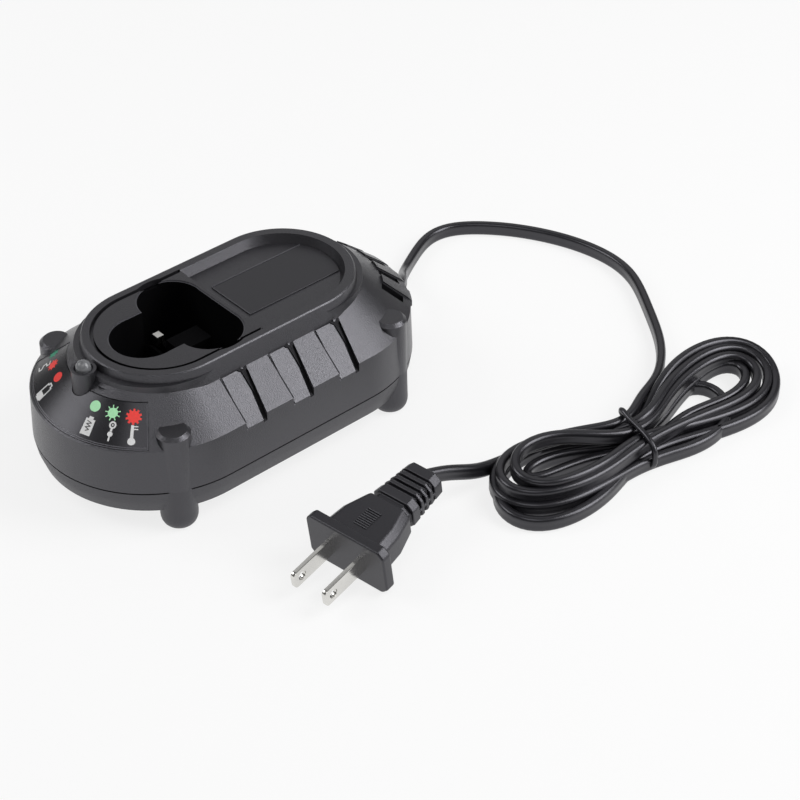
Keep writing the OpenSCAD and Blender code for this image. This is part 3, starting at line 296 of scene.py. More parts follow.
def moulded(name, colour, rough=0.31, grain=2300.0, depth=0.00025, level=1.0):
    """Moulded plastic: a fine spark-eroded grain, slow changes of sheen and a little dust in the colour."""
    f = Finish(name)
    fine = f.noise(grain, detail=4.0, rough=0.6)
    slow = f.noise(38.0)
    dust = (f.noise(900.0, detail=2.0, rough=0.7) > 0.66) * 0.25
    base = f.blend(dust, f.blend(slow, tone(colour, 0.86), tone(colour, 1.14)), tone(colour, 1.9))
    return f.surface(Base_Color=base, Roughness=rough + (slow - 0.5) * 0.1 + (fine - 0.5) * 0.06,
        Specular_IOR_Level=level, Specular_Tint=COOL, Normal=f.bump(fine, 0.5, depth))


def metal(name, colour, rough, along=(6.0, 900.0, 900.0)):
    """Plated sheet metal with drawn lines and small stains."""
    f = Finish(name)
    lines = f.streaks(along, detail=4.0)
    stain = f.noise(160.0)
    return f.surface(Base_Color=f.blend(stain, tone(colour, 0.82), colour), Metallic=1.0,
        Roughness=rough + (lines - 0.5) * 0.16 + (stain - 0.5) * 0.1, Normal=f.bump(lines, 0.35, 0.000006))


def film(name, colour, rough):
    """Printed film with a faint orange peel and wiping marks."""
    f = Finish(name)
    peel = f.noise(700.0, detail=2.0)
    wipe = f.streaks((60.0, 160.0, 60.0))
    return f.surface(Base_Color=f.blend(wipe, tone(colour, 0.85), tone(colour, 1.2)),
        Roughness=rough + (wipe - 0.5) * 0.14, Specular_Tint=COOL, Normal=f.bump(peel, 0.25, 0.00002))


def ink(name, colour):
    """Screen-printed ink with a slightly uneven lay."""
    f = Finish(name)
    lay = f.noise(1500.0)
    return f.surface(Base_Color=f.blend(lay, tone(colour, 0.84), tone(colour, 1.1)),
        Roughness=0.42 + (lay - 0.5) * 0.2, Normal=f.bump(lay, 0.3, 0.00001))


def sheath_vinyl(name, colour):
    """Glossy vinyl of the flat cord, with a fine speckle and slow changes of sheen."""
    f = Finish(name)
    wave = f.noise(120.0)
    speck = f.noise(1400.0, rough=0.6)
    return f.surface(Base_Color=f.blend(wave, tone(colour, 0.8), tone(colour, 1.4)),
        Roughness=0.3 + (wave - 0.5) * 0.10 + (speck - 0.5) * 0.04, Specular_IOR_Level=0.75,
        Specular_Tint=COOL, Normal=f.bump(speck, 0.2, 0.000008))


def lamp_resin(name):
    """Clear resin of the status light, a little cloudy."""
    f = Finish(name)
    cloud = f.noise(620.0, detail=2.0)
    return f.surface(Base_Color=f.blend(cloud, (0.10, 0.10, 0.11), (0.45, 0.46, 0.48)),
        Roughness=0.08 + cloud * 0.12, Transmission_Weight=0.35, IOR=1.5, Normal=f.bump(cloud, 0.4, 0.0001))


def board_resin(name):
    """Circuit board: green mask, copper runs under it and tinned pads."""
    f = Finish(name)
    x, y = f.axis("X"), f.axis("Y")
    runs = abs((x * 420.0 + f.noise(24.0, detail=1.0) * 2.0) % 1.0 - 0.5) < 0.16
    lanes = abs((y * 210.0) % 1.0 - 0.5) < 0.1
    pads = f.cells(260.0) < 0.12
    mask = f.blend((runs + lanes).clamped() * 0.6, (0.012, 0.10, 0.03), (0.05, 0.22, 0.07))
    return f.surface(Base_Color=f.blend(pads, mask, (0.62, 0.62, 0.6)), Roughness=0.35 + f.noise(300.0) * 0.1,
        Metallic=pads * 0.8, Normal=f.bump((runs + lanes).clamped(), 0.4, 0.00003))


def ferrite(name):
    """Dull, gritty ferrite of a transformer's core."""
    f = Finish(name)
    grit = f.noise(2200.0, detail=4.0, rough=0.7)
    chips = f.cells(500.0) < 0.1
    return f.surface(Base_Color=f.blend(grit, (0.035, 0.035, 0.037), (0.085, 0.085, 0.09)),
        Roughness=0.66 + chips * 0.12, Normal=f.bump(grit, 0.6, 0.00006))


def winding_tape(name, colour):
    """Layers of tape over a winding, with overlaps across its height."""
    f = Finish(name)
    laps = (f.axis("Z") * 620.0 + f.noise(50.0) * 0.4) % 1.0
    seam = laps < 0.12
    tape = f.blend(f.noise(200.0), tone(colour, 0.85), colour)
    return f.surface(Base_Color=f.blend(seam, tape, tone(colour, 0.45)),
        Roughness=0.4 + laps * 0.12, Normal=f.bump(laps, 0.5, 0.00006))


def sleeve(name, colour):
    """Shrink sleeve with pale dashed polarity bands."""
    f = Finish(name)
    band = ((f.axis("X") * 95.0) % 1.0) < 0.12
    dashes = ((f.axis("Z") * 300.0) % 1.0) < 0.5
    creases = f.streaks((300.0, 300.0, 1500.0))
    return f.surface(Base_Color=f.blend(band * dashes, colour, (0.6, 0.62, 0.64)),
        Roughness=0.3 + creases * 0.15, Normal=f.bump(creases, 0.3, 0.00004))


def copper_turns(name):
    """Enamelled copper wire laid side by side around the choke's ring, painted darker in the creases between
    turns as shade.
    """
    f = Finish(name)
    choke_x, choke_y = -0.0151, 0.0245
    x, y = f.axis("X") - choke_x, f.axis("Y") - choke_y
    angle = f.node("ShaderNodeMath", {"operation": "ARCTAN2"}, {0: y, 1: x})
    turn = abs((angle * 9.0) % 1.0 - 0.5) * 2.0
    # Dark in the creases and bright on the crowns: painted shade and highlight
    return f.surface(Base_Color=f.blend(turn, (0.55, 0.2, 0.08), (0.2, 0.06, 0.025)),
        Metallic=0.7, Roughness=0.3 + turn * 0.2, Normal=f.bump(1.0 - turn, 0.9, 0.0003))


def fuse_ceramic(name):
    """Fuse body: pale ceramic between two metal caps."""
    f = Finish(name)
    x = f.axis("X")
    cap_end, far_cap = 0.0062, 0.0136
    caps = 1.0 - (x > cap_end) * (x < far_cap)
    return f.surface(Base_Color=f.blend(caps, f.blend(f.noise(500.0), (0.62, 0.6, 0.54), (0.74, 0.72, 0.66)),
        (0.7, 0.7, 0.68)), Metallic=caps, Roughness=0.28 + f.noise(300.0) * 0.15,
        Normal=f.bump(caps, 0.6, 0.0001))


def wire_jacket(name, colour):
    """Rubbed plastic jacket of a thin wire."""
    f = Finish(name)
    rub = f.noise(260.0)
    return f.surface(Base_Color=f.blend(rub, tone(colour, 0.8), tone(colour, 1.1)),
        Roughness=0.38 + (rub - 0.5) * 0.2, Normal=f.bump(rub, 0.3, 0.00003))


def blank_plate(name):
    """Silvered film of the blank plate, with a dark printed border."""
    f = Finish(name)
    x, y = abs(f.axis("X")), abs(f.axis("Y"))
    inner_x, inner_y = 0.0196, 0.0116
    border = ((x > inner_x) + (y > inner_y)).clamped()
    rows = f.streaks((40.0, 1200.0, 40.0))
    return f.surface(Base_Color=f.blend(border, f.blend(rows, (0.42, 0.43, 0.44), (0.5, 0.51, 0.52)),
        (0.04, 0.04, 0.042)), Metallic=0.5 * (1.0 - border), Roughness=0.4 + (rows - 0.5) * 0.2,
        Normal=f.bump(rows, 0.2, 0.00001))


# ---------------------------------------------------------------- shaping

def finished(name, bm, material, smooth=32, even=True):
    """Turns a bmesh into a piece that rides on the charger, with edges that fold little shaded smooth."""
    for face in bm.faces:
        face.smooth = True
    for edge in bm.edges:
        edge.smooth = len(edge.link_faces) == 2 and edge.calc_face_angle(0) < math.radians(smooth)
    mesh = bpy.data.meshes.new(name)
    bm.to_mesh(mesh)
    bm.free()
    if "custom_normal" in mesh.attributes:
        mesh.attributes.remove(mesh.attributes["custom_normal"])
    piece = bpy.data.objects.new(name, mesh)
    bpy.context.scene.collection.objects.link(piece)
    mesh.materials.clear()
    mesh.materials.append(material)
    if even:
        lit = piece.modifiers.new("Even shading", "WEIGHTED_NORMAL")
        lit.keep_sharp = True
    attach(piece, "root")
    return piece


def added(name, bm, material):
    """A small piece that is built here, with its faces turned outwards."""
    bmesh.ops.recalc_face_normals(bm, faces=bm.faces)
    finished(name, bm, material, even=False)


def merged(node, weld=1e-6, flat=0.4):
    """A copy of a CAD node with its close points welded and its flat faces joined."""
    bm = bmesh.new()
    bm.from_mesh(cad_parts[node].data)
    bmesh.ops.remove_doubles(bm, verts=bm.verts, dist=weld)
    bmesh.ops.dissolve_limit(bm, angle_limit=math.radians(flat), use_dissolve_boundaries=False,
        verts=bm.verts, edges=bm.edges)
    return bm


def round_edges(bm, width, fold, segments):
    """Rounds every edge that folds by more than an angle."""
    sharp = [e for e in bm.edges if len(e.link_faces) == 2 and e.calc_face_angle(0) > math.radians(fold)]
    bmesh.ops.bevel(bm, geom=sharp, offset=width, offset_type="OFFSET", segments=segments, profile=0.5,
        affect="EDGES", clamp_overlap=True, loop_slide=True, material=-1)


def moulding(node, name, material, width, fold=26.0, segments=2, others=(), chosen=None):
    """A CAD node's shape with rounded moulded edges, shown in its place.

    Chosen tells from a face's middle, in millimetres, which finish it takes: 0 is the material, 1 the first
    of the others.
    """
    bm = merged(node)
    round_edges(bm, width, fold, segments)
    piece = finished(name, bm, material)
    for other in others:
        piece.data.materials.append(other)
    if chosen:
        for face in piece.data.polygons:
            face.material_index = int(chosen(face.center / MM))
    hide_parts(node)


def dress(node, material):
    """Gives a CAD node that stays as it is a better material."""
    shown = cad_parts[node]
    for slot in shown.material_slots:
        slot.link = "OBJECT"
        slot.material = material


def eased_line(points, step, relax):
    """A route's points as one smooth line of evenly spaced points, its ends kept."""
    curve = bpy.data.curves.new("route", "CURVE")
    curve.dimensions = "3D"
    curve.resolution_u = 12
    spline = curve.splines.new("BEZIER")
    spline.bezier_points.add(len(points) - 1)
    for knot, point in zip(spline.bezier_points, points):
        knot.co = Vector(point) * MM
        knot.handle_left_type = knot.handle_right_type = "AUTO"
    carrier = bpy.data.objects.new("route", curve)
    bpy.context.scene.collection.objects.link(carrier)
    bpy.context.view_layer.update()
    line = carrier.to_mesh()
    raw = [v.co.copy() for v in line.vertices]
    carrier.to_mesh_clear()
    bpy.data.objects.remove(carrier)
    bpy.data.curves.remove(curve)
    even = evenly(raw, step)
    for _ in range(relax):
        inner = [(a + 2 * b + c) / 4 for a, b, c in zip(even, even[1:], even[2:])]
        even = [even[0], *inner, even[-1]]
    return evenly(even, step)


def evenly(line, step):
    """The points of a line at equal distances along it."""
    lengths = [0.0]
    for a, b in zip(line, line[1:]):
        lengths.append(lengths[-1] + (b - a).length)
    count = max(2, round(lengths[-1] / step))
    out, i = [], 0
    for k in range(count + 1):
        want = lengths[-1] * k / count
        while i < len(line) - 2 and lengths[i + 1] < want:
            i += 1
        span = lengths[i + 1] - lengths[i]
        out.append(line[i].lerp(line[i + 1], (want - lengths[i]) / span if span else 0.0))
    return out


def loop_edges(bm, loop):
    """The edges around a closed loop of points. The missing ones are made."""
    return [bm.edges.get(pair) or bm.edges.new(pair) for pair in zip(loop, loop[1:] + loop[:1])]


def skin(bm, loops):
    """A closed tube through a row of loops, with a face over each end."""
    for one, two in zip(loops, loops[1:]):
        bmesh.ops.bridge_loops(bm, edges=loop_edges(bm, one) + loop_edges(bm, two))
    for loop in (loops[0], loops[-1]):
        bm.faces.new(loop)


def within(value, limits):
    """Whether a value lies between two limits."""
    return limits[0] < value < limits[1]


def swept(name, line, section, material):
    """A closed tube whose section is carried along a line with its first axis kept upright."""
    bm = bmesh.new()
    rings = []
    for i, point in enumerate(line):
        ahead = (line[min(i + 1, len(line) - 1)] - line[max(i - 1, 0)]).normalized()
        side = ahead.cross(Vector((0, 0, 1))).normalized()
        upright = side.cross(ahead)
        rings.append([bm.verts.new(point + (upright * a + side * b)) for a, b in section])
    skin(bm, rings)
    bmesh.ops.recalc_face_normals(bm, faces=bm.faces)
    return finished(name, bm, material, smooth=50, even=False)


def flat_cord_section(width, thick, corner=0.00125, groove=0.00010, reach=0.0007):
    """Outline of a flat two-core cord: rounded edges, flat sides and a faint groove down each side."""
    high, wide = width / 2 - corner, thick / 2 - corner
    bends = [math.pi * k / 10 for k in range(6)]
    edge = [*[(high + corner * math.sin(a), wide + corner * math.cos(a)) for a in bends],
        *[(high + corner * math.cos(a), -wide - corner * math.sin(a)) for a in bends]]
    side = [(-reach, -thick / 2), (0.0, -thick / 2 + groove), (reach, -thick / 2)]
    half = [*edge, *[(-u, v) for u, v in side]]
    return [*half, *[(-u, -v) for u, v in half]]


# ---------------------------------------------------------------- pieces

class CHARGER_OT_studio(Operator):
    """Sets the camera, the pale floor, the white surroundings and the lamps"""
    bl_idname = "charger.studio"
    bl_label = "Studio"

    def execute(self, context):
        look = context.scene.charger_studio
        self.camera(context, look)
        self.floor(context)
        self.surroundings(context, look)
        self.lamps(context, look)
        context.scene.view_settings.view_transform = "Standard"
        return {"FINISHED"}

    def camera(self, context, look):
        level = math.cos(CAMERA_ELEVATION)
        back = Vector((math.sin(CAMERA_AZIMUTH) * level, -math.cos(CAMERA_AZIMUTH) * level,
            math.sin(CAMERA_ELEVATION)))
        right = (-back).cross(Vector((0, 0, 1))).normalized()
        up = right.cross(-back)
        turned_right = right * math.cos(CAMERA_ROLL) + up * math.sin(CAMERA_ROLL)
        turned_up = up * math.cos(CAMERA_ROLL) - right * math.sin(CAMERA_ROLL)
        data = bpy.data.cameras.new("camera")
        data.sensor_width = SENSOR_W
        data.lens = look.lens
        data.clip_start, data.clip_end = 0.05, 20
        camera = bpy.data.objects.new("camera", data)
        place = Matrix((turned_right, turned_up, back)).transposed().to_4x4()
        place.translation = CAMERA_AT * MM
        camera.matrix_world = place
        context.scene.collection.objects.link(camera)
        context.scene.camera = camera

    def floor(self, context, half_width=6, drop=0.00002, whiteness=0.8):
        """Pale paper that also shows some white of its own, to the camera and in reflections."""
        bm = bmesh.new()
        bmesh.ops.create_grid(bm, x_segments=1, y_segments=1, size=half_width)
        mesh = bpy.data.meshes.new("floor")
        bm.to_mesh(mesh)
        bm.free()
        floor = bpy.data.objects.new("floor", mesh)
        floor.location.z = -drop
        context.scene.collection.objects.link(floor)
        f = Finish("floor")
        seen = f.node("ShaderNodeLightPath", output="Is Camera Ray")
        mirrored = f.node("ShaderNodeLightPath", output="Is Glossy Ray")
        paper = f.node("ShaderNodeBsdfDiffuse", {}, {"Color": f.blend(f.noise(60.0), (0.86, 0.86, 0.86),
            (0.88, 0.88, 0.88))})
        white = f.node("ShaderNodeEmission", {}, {"Color": (1, 1, 1, 1), "Strength": 1.0})
        mix = f.node("ShaderNodeMixShader", {}, {0: (seen * whiteness + mirrored * whiteness).clamped(),
            1: paper, 2: white})
        mesh.materials.append(f.shown(mix))

    def surroundings(self, context, look):
        """White to the camera and through the clear lamp, and a weaker light to all else."""
        world = bpy.data.worlds.new("surroundings")
        world.use_nodes = True
        context.scene.world = world
        tree = world.node_tree
        tree.nodes.clear()
        path = tree.nodes.new("ShaderNodeLightPath")
        either = tree.nodes.new("ShaderNodeMath")
        either.operation = "MAXIMUM"
        tree.links.new(path.outputs["Is Camera Ray"], either.inputs[0])
        tree.links.new(path.outputs["Is Transmission Ray"], either.inputs[1])
        shown = tree.nodes.new("ShaderNodeBackground")
        shown.inputs["Strength"].default_value = 1.0
        lit = tree.nodes.new("ShaderNodeBackground")
        lit.inputs["Strength"].default_value = look.surround
        for ground in (shown, lit):
            ground.inputs["Color"].default_value = (1, 1, 1, 1)
        mix = tree.nodes.new("ShaderNodeMixShader")
        out = tree.nodes.new("ShaderNodeOutputWorld")
        tree.links.new(either.outputs[0], mix.inputs[0])
        tree.links.new(lit.outputs[0], mix.inputs[1])
        tree.links.new(shown.outputs[0], mix.inputs[2])
        tree.links.new(mix.outputs[0], out.inputs["Surface"])

    def lamps(self, context, look):
        """Square lamps, all turned to the middle of the charger and its cord."""
        middle = Vector((0.02, 0.01, 0.03))
        for name, towards, distance, size, power in (
                ("key", (0.48, 0.53, 0.70), 1.0, 0.55, look.key),
                ("side", (0.757, 0.526, 0.39), 1.0, 0.55, 3.2),
                ("back", (-0.587, 0.526, 0.616), 1.2, 1.0, 1.3),
                ("front", (-0.587, -0.493, 0.643), 1.0, 0.55, 3.4),
                ("top", (0.28, -0.34, 0.90), 1.0, 0.55, 1.5)):
            data = bpy.data.lights.new(name, "AREA")
            data.shape = "SQUARE"
            data.size = size
            data.energy = power
            lamp = bpy.data.objects.new(name, data)
            way = Vector(towards).normalized()
            lamp.location = middle + way * distance
            lamp.rotation_euler = way.to_track_quat("Z", "Y").to_euler()
            context.scene.collection.objects.link(lamp)


class CHARGER_OT_cord(Operator):
    """Lays the flat mains cord from its guard, through the hank's turns, to the plug"""
    bl_idname = "charger.cord"
    bl_label = "Mains cord"

    # Spacing of the line's points, and the cord's height over the floor
    STEP = 0.0022
    CLEARANCE = 0.00005

    def execute(self, context):
        sizes = context.scene.charger_cord
        look = context.scene.charger_finish
        vinyl = sheath_vinyl("cord_vinyl", look.sheath)
        line = eased_line(LEAD + TURNS, self.STEP, sizes.relax)
        lowest = sizes.width / 2 + self.CLEARANCE
        line = [Vector((p.x, p.y, max(p.z, lowest))) for p in line]
        cord = swept("mains_cord", line, flat_cord_section(sizes.width, sizes.thick), vinyl)
        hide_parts("cord_lead", "cord_hank", "cord_tail")
        tie = self.tie(vinyl)
        length = sum((b - a).length for a, b in zip(line, line[1:]))
        dress("cord_guard", moulded("guard_rubber", look.sheath, rough=0.5))
        return {"FINISHED"}

    def tie(self, vinyl, radius=0.001, start=0.6, drift=1.4, step=0.0008, relax=3):
        """A wire tie once around the hank's waist, drifting along it, one end curled back over the other."""
        across = Vector((math.cos(WAIST_TURN), math.sin(WAIST_TURN), 0))
        along = Vector((-across.y, across.x, 0))
        centre = Vector((WAIST.x, WAIST.y, 0))
        loop = [(-9.5, 10.2), (-10.8, 10.4), (-11.3, 11.3), (-10.4, 12.2), (-8.6, 11.9), (-5, 11.6), (0, 11.6),
            (6, 11), (9.4, 9.2), (10.3, 6), (10.1, 2.9), (8, 1.5), (0, 1.25), (-8, 1.5), (-10, 3), (-10.3, 6.5),
            (-10, 8.6)]
        line = eased_line([centre + across * s + along * (start - drift * i / len(loop)) + Vector((0, 0, z))
            for i, (s, z) in enumerate(loop)], step, relax)
        wire = [(radius * math.cos(k * math.pi / 6), radius * math.sin(k * math.pi / 6)) for k in range(12)]
        tie = swept("wire_tie", line, wire, vinyl)
        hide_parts("hank_tie")
        return tie


class CHARGER_OT_plug(Operator):
    """Shapes the two-pin plug with its strain relief and blades"""
    bl_idname = "charger.plug"
    bl_label = "Plug"

    def execute(self, context):
        look = context.scene.charger_finish
        vinyl = moulded("plug_vinyl", tone(look.sheath, 1.3), rough=0.42, grain=1700.0, depth=0.00005,
            level=0.8)
        moulding("plug_body", "plug_shell", vinyl, 0.0011, fold=20.0, segments=4)
        self.grip(vinyl)
        self.seats(vinyl)
        moulding("plug_relief", "plug_relief_sleeve", vinyl, 0.00045, fold=25.0, segments=3)
        moulding("plug_blades", "plug_contact_blades",
            metal("nickel_plate", (0.78, 0.77, 0.74), 0.16), 0.0002, fold=30.0)
        return {"FINISHED"}

    def pose(self):
        """From millimetres on the plug to its place: its flange's face, heading and tilt."""
        turned = Matrix.Rotation(PLUG_YAW, 4, "Z") @ Matrix.Rotation(PLUG_TILT, 4, "X")
        return Matrix.Scale(MM, 4) @ (Matrix.Translation(PLUG_AT) @ turned)

    def seats(self, vinyl):
        """The vinyl moulded close around the roots of the blades."""
        bm = bmesh.new()
        for side in (-1, 1):
            made = bmesh.ops.create_cube(bm, size=1)
            block = Matrix.Translation((side * SEAT_X, SEAT_Y, 0)) @ Matrix.Diagonal((*SEAT_SIZE, 1))
            bmesh.ops.transform(bm, matrix=self.pose() @ block, verts=made["verts"])
        added("plug_blade_seats", bm, vinyl)

    def grip(self, vinyl):
        """Fine grip ribs across the top and the underside of the plug."""
        bm = bmesh.new()
        for side in (-1, 1):
            for k in range(RIB_COUNT):
                made = bmesh.ops.create_cone(bm, cap_ends=True, segments=8, radius1=RIB_R, radius2=RIB_R,
                    depth=RIB_LENGTH)
                laid = Matrix.Translation((0, RIB_FIRST + RIB_PITCH * k, side * (PLUG_TOP + RIB_RISE))) @ \
                    Matrix.Rotation(math.pi / 2, 4, "Y")
                bmesh.ops.transform(bm, matrix=self.pose() @ laid, verts=made["verts"])
        added("plug_grip_ribs", bm, vinyl)


class CHARGER_OT_housing(Operator):
    """Finishes the two shells of the housing"""
    bl_idname = "charger.housing"
    bl_label = "Housing"

    def execute(self, context):
        look = context.scene.charger_finish
        # The grooves, the slivers beside them and the lines and heads over the panels are painted near black, as
        # shade
        shade = moulded("groove_shade", tone(look.housing, 0.5), 0.6, level=0.25)
        moulding("top_shell", "upper_housing", moulded("housing_plastic", look.housing), look.edge,
            others=(shade,), chosen=self.in_groove)
        self.edge_lines(shade)
        moulding("bottom_shell", "lower_housing_shell",
            moulded("base_plastic", tone(look.housing, 0.95), 0.45), look.edge)
        return {"FINISHED"}

    def band_height(self, along):
        """Height of a panel's turned band, at a distance along its groove."""
        return PANEL_TOP_Z - PANEL_FALL * (along + SHOULDER_R - PANEL_IN_X)

    def off_band(self, place, start):
        """How far a place stands across a turned band that starts at a level, and how far it lies under it."""
        out, on = abs(place.x) - SHOULDER_R, place.y - start
        along = out * math.cos(GROOVE_TURN) - on * math.sin(GROOVE_TURN)
        across = out * math.sin(GROOVE_TURN) + on * math.cos(GROOVE_TURN)
        return across, self.band_height(along) - place.z

    def on_band(self, side, middle, along, across, rise):
        """The place at a height over a panel's turned band, measured along its groove and across it."""
        out = along * math.cos(GROOVE_TURN) + across * math.sin(GROOVE_TURN)
        on = across * math.cos(GROOVE_TURN) - along * math.sin(GROOVE_TURN)
        return (side * (SHOULDER_R + out), middle + PANEL_W / 2 - GROOVE_W + on, self.band_height(along) + rise)

    def in_groove(self, place):
        """Whether a place takes the painted shade: in a side panel's groove, or on the sliver between it and the
        panel's edge.
        """
        if not within(abs(place.x), GROOVE_REACH):
            return False
        for middle in PANEL_MIDDLES:
            across, drop = self.off_band(place, middle + PANEL_W / 2 - GROOVE_W)
            if within(across, GROOVE_ACROSS) and within(drop, GROOVE_DROP):
                return True
            past_start = place.y - middle > SLIVER_START
            if past_start and within(across, SLIVER_ACROSS) and within(drop, SLIVER_DROP):
                return True
        return False

    def edge_lines(self, shade):
        """Painted shade: a fine dark line along the nose side of each panel, as the shadow of its step, and a
        dark head at the top of each groove.
        """
        bm = bmesh.new()
        for side in (-1, 1):
            for middle in PANEL_MIDDLES:
                y = middle - PANEL_W / 2 - SHADOW_LINE_GAP
                self.strip(bm, *[Vector((side * x, y, z)) * MM for x, z in (SHADOW_LINE_TOP, SHADOW_LINE_FOOT)])
                self.inlay(bm, [self.on_band(side, middle, *corner, HEAD_RISE) for corner in GROOVE_HEAD],
                    HEAD_DEPTH)
        added("panel_shadow_lines", bm, shade)

    def inlay(self, bm, corners, depth):
        """A closed slab under a row of corners."""
        top = [bm.verts.new(Vector(c) * MM) for c in corners]
        low = [bm.verts.new((Vector(c) - Vector((0, 0, depth))) * MM) for c in corners]
        bm.faces.new(top)
        bm.faces.new(low[::-1])
        for i in range(len(top)):
            bm.faces.new((top[i], top[i - 1], low[i - 1], low[i]))

    def strip(self, bm, start, end):
        """A thin four-sided strip between two places."""
        side = Vector((0, 1, 0))
        rise = (end - start).normalized().cross(side).normalized()
        skin(bm, [[bm.verts.new(at + side * (SHADOW_LINE_W / 2 * MM * a) + rise * (SHADOW_LINE_HALF * MM * b))
            for a, b in ((-1, -1), (1, -1), (1, 1), (-1, 1))] for at in (start, end)])


class CHARGER_OT_well(Operator):
    """Finishes the battery well, its terminal block and its contacts"""
    bl_idname = "charger.well"
    bl_label = "Battery well"

    def execute(self, context):
        look = context.scene.charger_finish
        # The well's inside and its terminal block are painted near black and dull, as shade
        well_shade = moulded("well_shade_plastic", tone(look.housing, 0.16), 0.75, level=0.05)
        # The lip at the well's mouth is painted lighter, as a highlight
        lip = moulded("well_lip_highlight", tone(look.housing, 4.0), 0.3)
        moulding("battery_well", "well_insert", moulded("well_plastic", tone(look.housing, 0.8)),
            look.edge, others=(well_shade, lip), chosen=self.finish_at)
        moulding("terminal_block", "terminal_carrier", well_shade, look.edge)
        moulding("terminals", "contact_strips",
            metal("contact_plate", (0.8, 0.79, 0.76), 0.2), 0.00012)
        return {"FINISHED"}

    def finish_at(self, place):
        """The panel's top keeps the first finish, the lip under it takes the last, painted light as a highlight,
        and the rest the one painted near black as shade.
        """
        if place.z >= WELL_TOP_Z:
            return 0
        return 2 if place.z > WELL_LIP_Z else 1


class CHARGER_OT_labels(Operator):
    """Finishes the printed films and lays the fine line around the tray's film"""
    bl_idname = "charger.labels"
    bl_label = "Labels"

    def execute(self, context):
        look = context.scene.charger_finish
        dress("tray_label", film("tray_film", tone(look.film, 1.6), 0.36))
        dress("nose_label", film("nose_film", look.film, 0.26))
        dress("rating_plate", blank_plate("plate_film"))
        self.tray_bead(look)
        return {"FINISHED"}

    def tray_bead(self, look):
        """The fine raised line around the tray's film and the ridge in front of it, its lighter colour a painted
        highlight.
        """
        x, front, back, z = TRAY_FILM_X, TRAY_FILM_FRONT, TRAY_FILM_BACK, TRAY_FILM_Z
        bm = bmesh.new()
        # Ends of each line, its width, and its underside and top measured from the film
        for (x0, y0), (x1, y1), width, low, high in (
                ((-x, front), (-x, back), 0.4, -0.25, 0.22),
                ((x, front), (x, back), 0.2, -0.25, 0.04),
                ((-x, front), (x, front), 0.3, -0.25, 0.1),
                ((-x - 0.4, front - 1.9), (x + 0.4, front - 1.9), 0.3, -0.45, -0.2)):
            made = bmesh.ops.create_cube(bm, size=1.0)
            size = Vector((max(abs(x1 - x0), width), max(abs(y1 - y0), width), high - low))
            for vert in made["verts"]:
                vert.co = Vector(((x0 + x1) / 2, (y0 + y1) / 2, z + (low + high) / 2)) * MM + \
                    Vector([c * d * MM for c, d in zip(vert.co, size)])
        tops = [e for e in bm.edges if all(v.co.z > (z - 0.3) * MM for v in e.verts)]
        bmesh.ops.bevel(bm, geom=tops, offset=0.00005, offset_type="OFFSET", segments=2, profile=0.5,
            affect="EDGES", clamp_overlap=True, material=-1)
        # The lines' lighter colour is a painted highlight along their edges
        added("tray_film_line", bm, moulded("line_highlight_plastic", tone(look.housing, 4.0), 0.3))


# Shapes of the legend's marks are lists of outlines, in millimetres to the right and up the nose

def disc(radius, a=0.0, b=0.0, sides=24):
    """A filled circle around a place."""
    turns = [k * math.tau / sides for k in range(sides)]
    return [[(a + radius * math.cos(turn), b + radius * math.sin(turn)) for turn in turns]]


def stroke(width, *points):
    """Short bars that follow a bent line."""
    bars = []
    for (a0, b0), (a1, b1) in zip(points, points[1:]):
        length = math.hypot(a1 - a0, b1 - b0)
        ta, tb = (a1 - a0) / length, (b1 - b0) / length
        na, nb, e = -tb * width / 2, ta * width / 2, width * 0.4
        bars.append([(a0 - ta * e + na, b0 - tb * e + nb), (a0 - ta * e - na, b0 - tb * e - nb),
            (a1 + ta * e - na, b1 + tb * e - nb), (a1 + ta * e + na, b1 + tb * e + nb)])
    return bars


def hoop(radius, width, a=0.0, b=0.0, sides=14):
    """A circle drawn with short bars."""
    turns = [k * math.tau / sides for k in range(sides + 1)]
    return stroke(width, *[(a + radius * math.cos(turn), b + radius * math.sin(turn)) for turn in turns])


def rays(inner, outer, width, count):
    """Short bars that stand out around a disc."""
    return [bar for k in range(count) for bar in stroke(width, *[(r * math.cos((k + 0.5) * math.tau / count),
        r * math.sin((k + 0.5) * math.tau / count)) for r in (inner, outer)])]


BATTERY = [[(-1.75, -3.1), (1.75, -3.1), (1.75, 2.3), (0.85, 2.3), (0.85, 3.1), (-0.85, 3.1), (-0.85, 2.3),
    (-1.75, 2.3)]]
CELL_LINE = stroke(0.5, (-1.5, -3.1), (1.5, -3.1), (1.5, 2.2), (0.8, 2.2), (0.8, 3.0), (-0.8, 3.0), (-0.8, 2.2),
    (-1.5, 2.2), (-1.5, -3.1))
ZIGZAG = stroke(0.28, (-0.9, 1.5), (0.8, 1.1), (-0.8, 0.5), (0.8, 0.0), (-0.8, -0.6), (0.7, -1.1), (-0.3, -1.7))
LAMP = hoop(0.95, 0.55, 0.1, 1.9) + disc(0.3, 0.1, 1.9, 10) + stroke(0.7, (0.05, 0.8), (0.0, 0.1)) + \
    disc(0.85, -0.1, -1.1) + stroke(0.5, (-0.1, -1.6), (-0.15, -3.2))
THERMOMETER = stroke(1.0, (0.0, 2.6), (0.0, -1.4)) + disc(1.2, 0.0, -2.2) + \
    stroke(0.36, (0.3, 2.6), (1.8, 2.6)) + stroke(0.36, (0.3, 1.7), (1.8, 1.7))
SQUIGGLE = stroke(0.5, (-0.9, -2.4), (0.8, -2.1), (0.9, -0.9), (-0.7, -0.2), (-0.8, 1.0), (0.8, 1.5), (0.9, 2.6),
    (-0.6, 2.8))
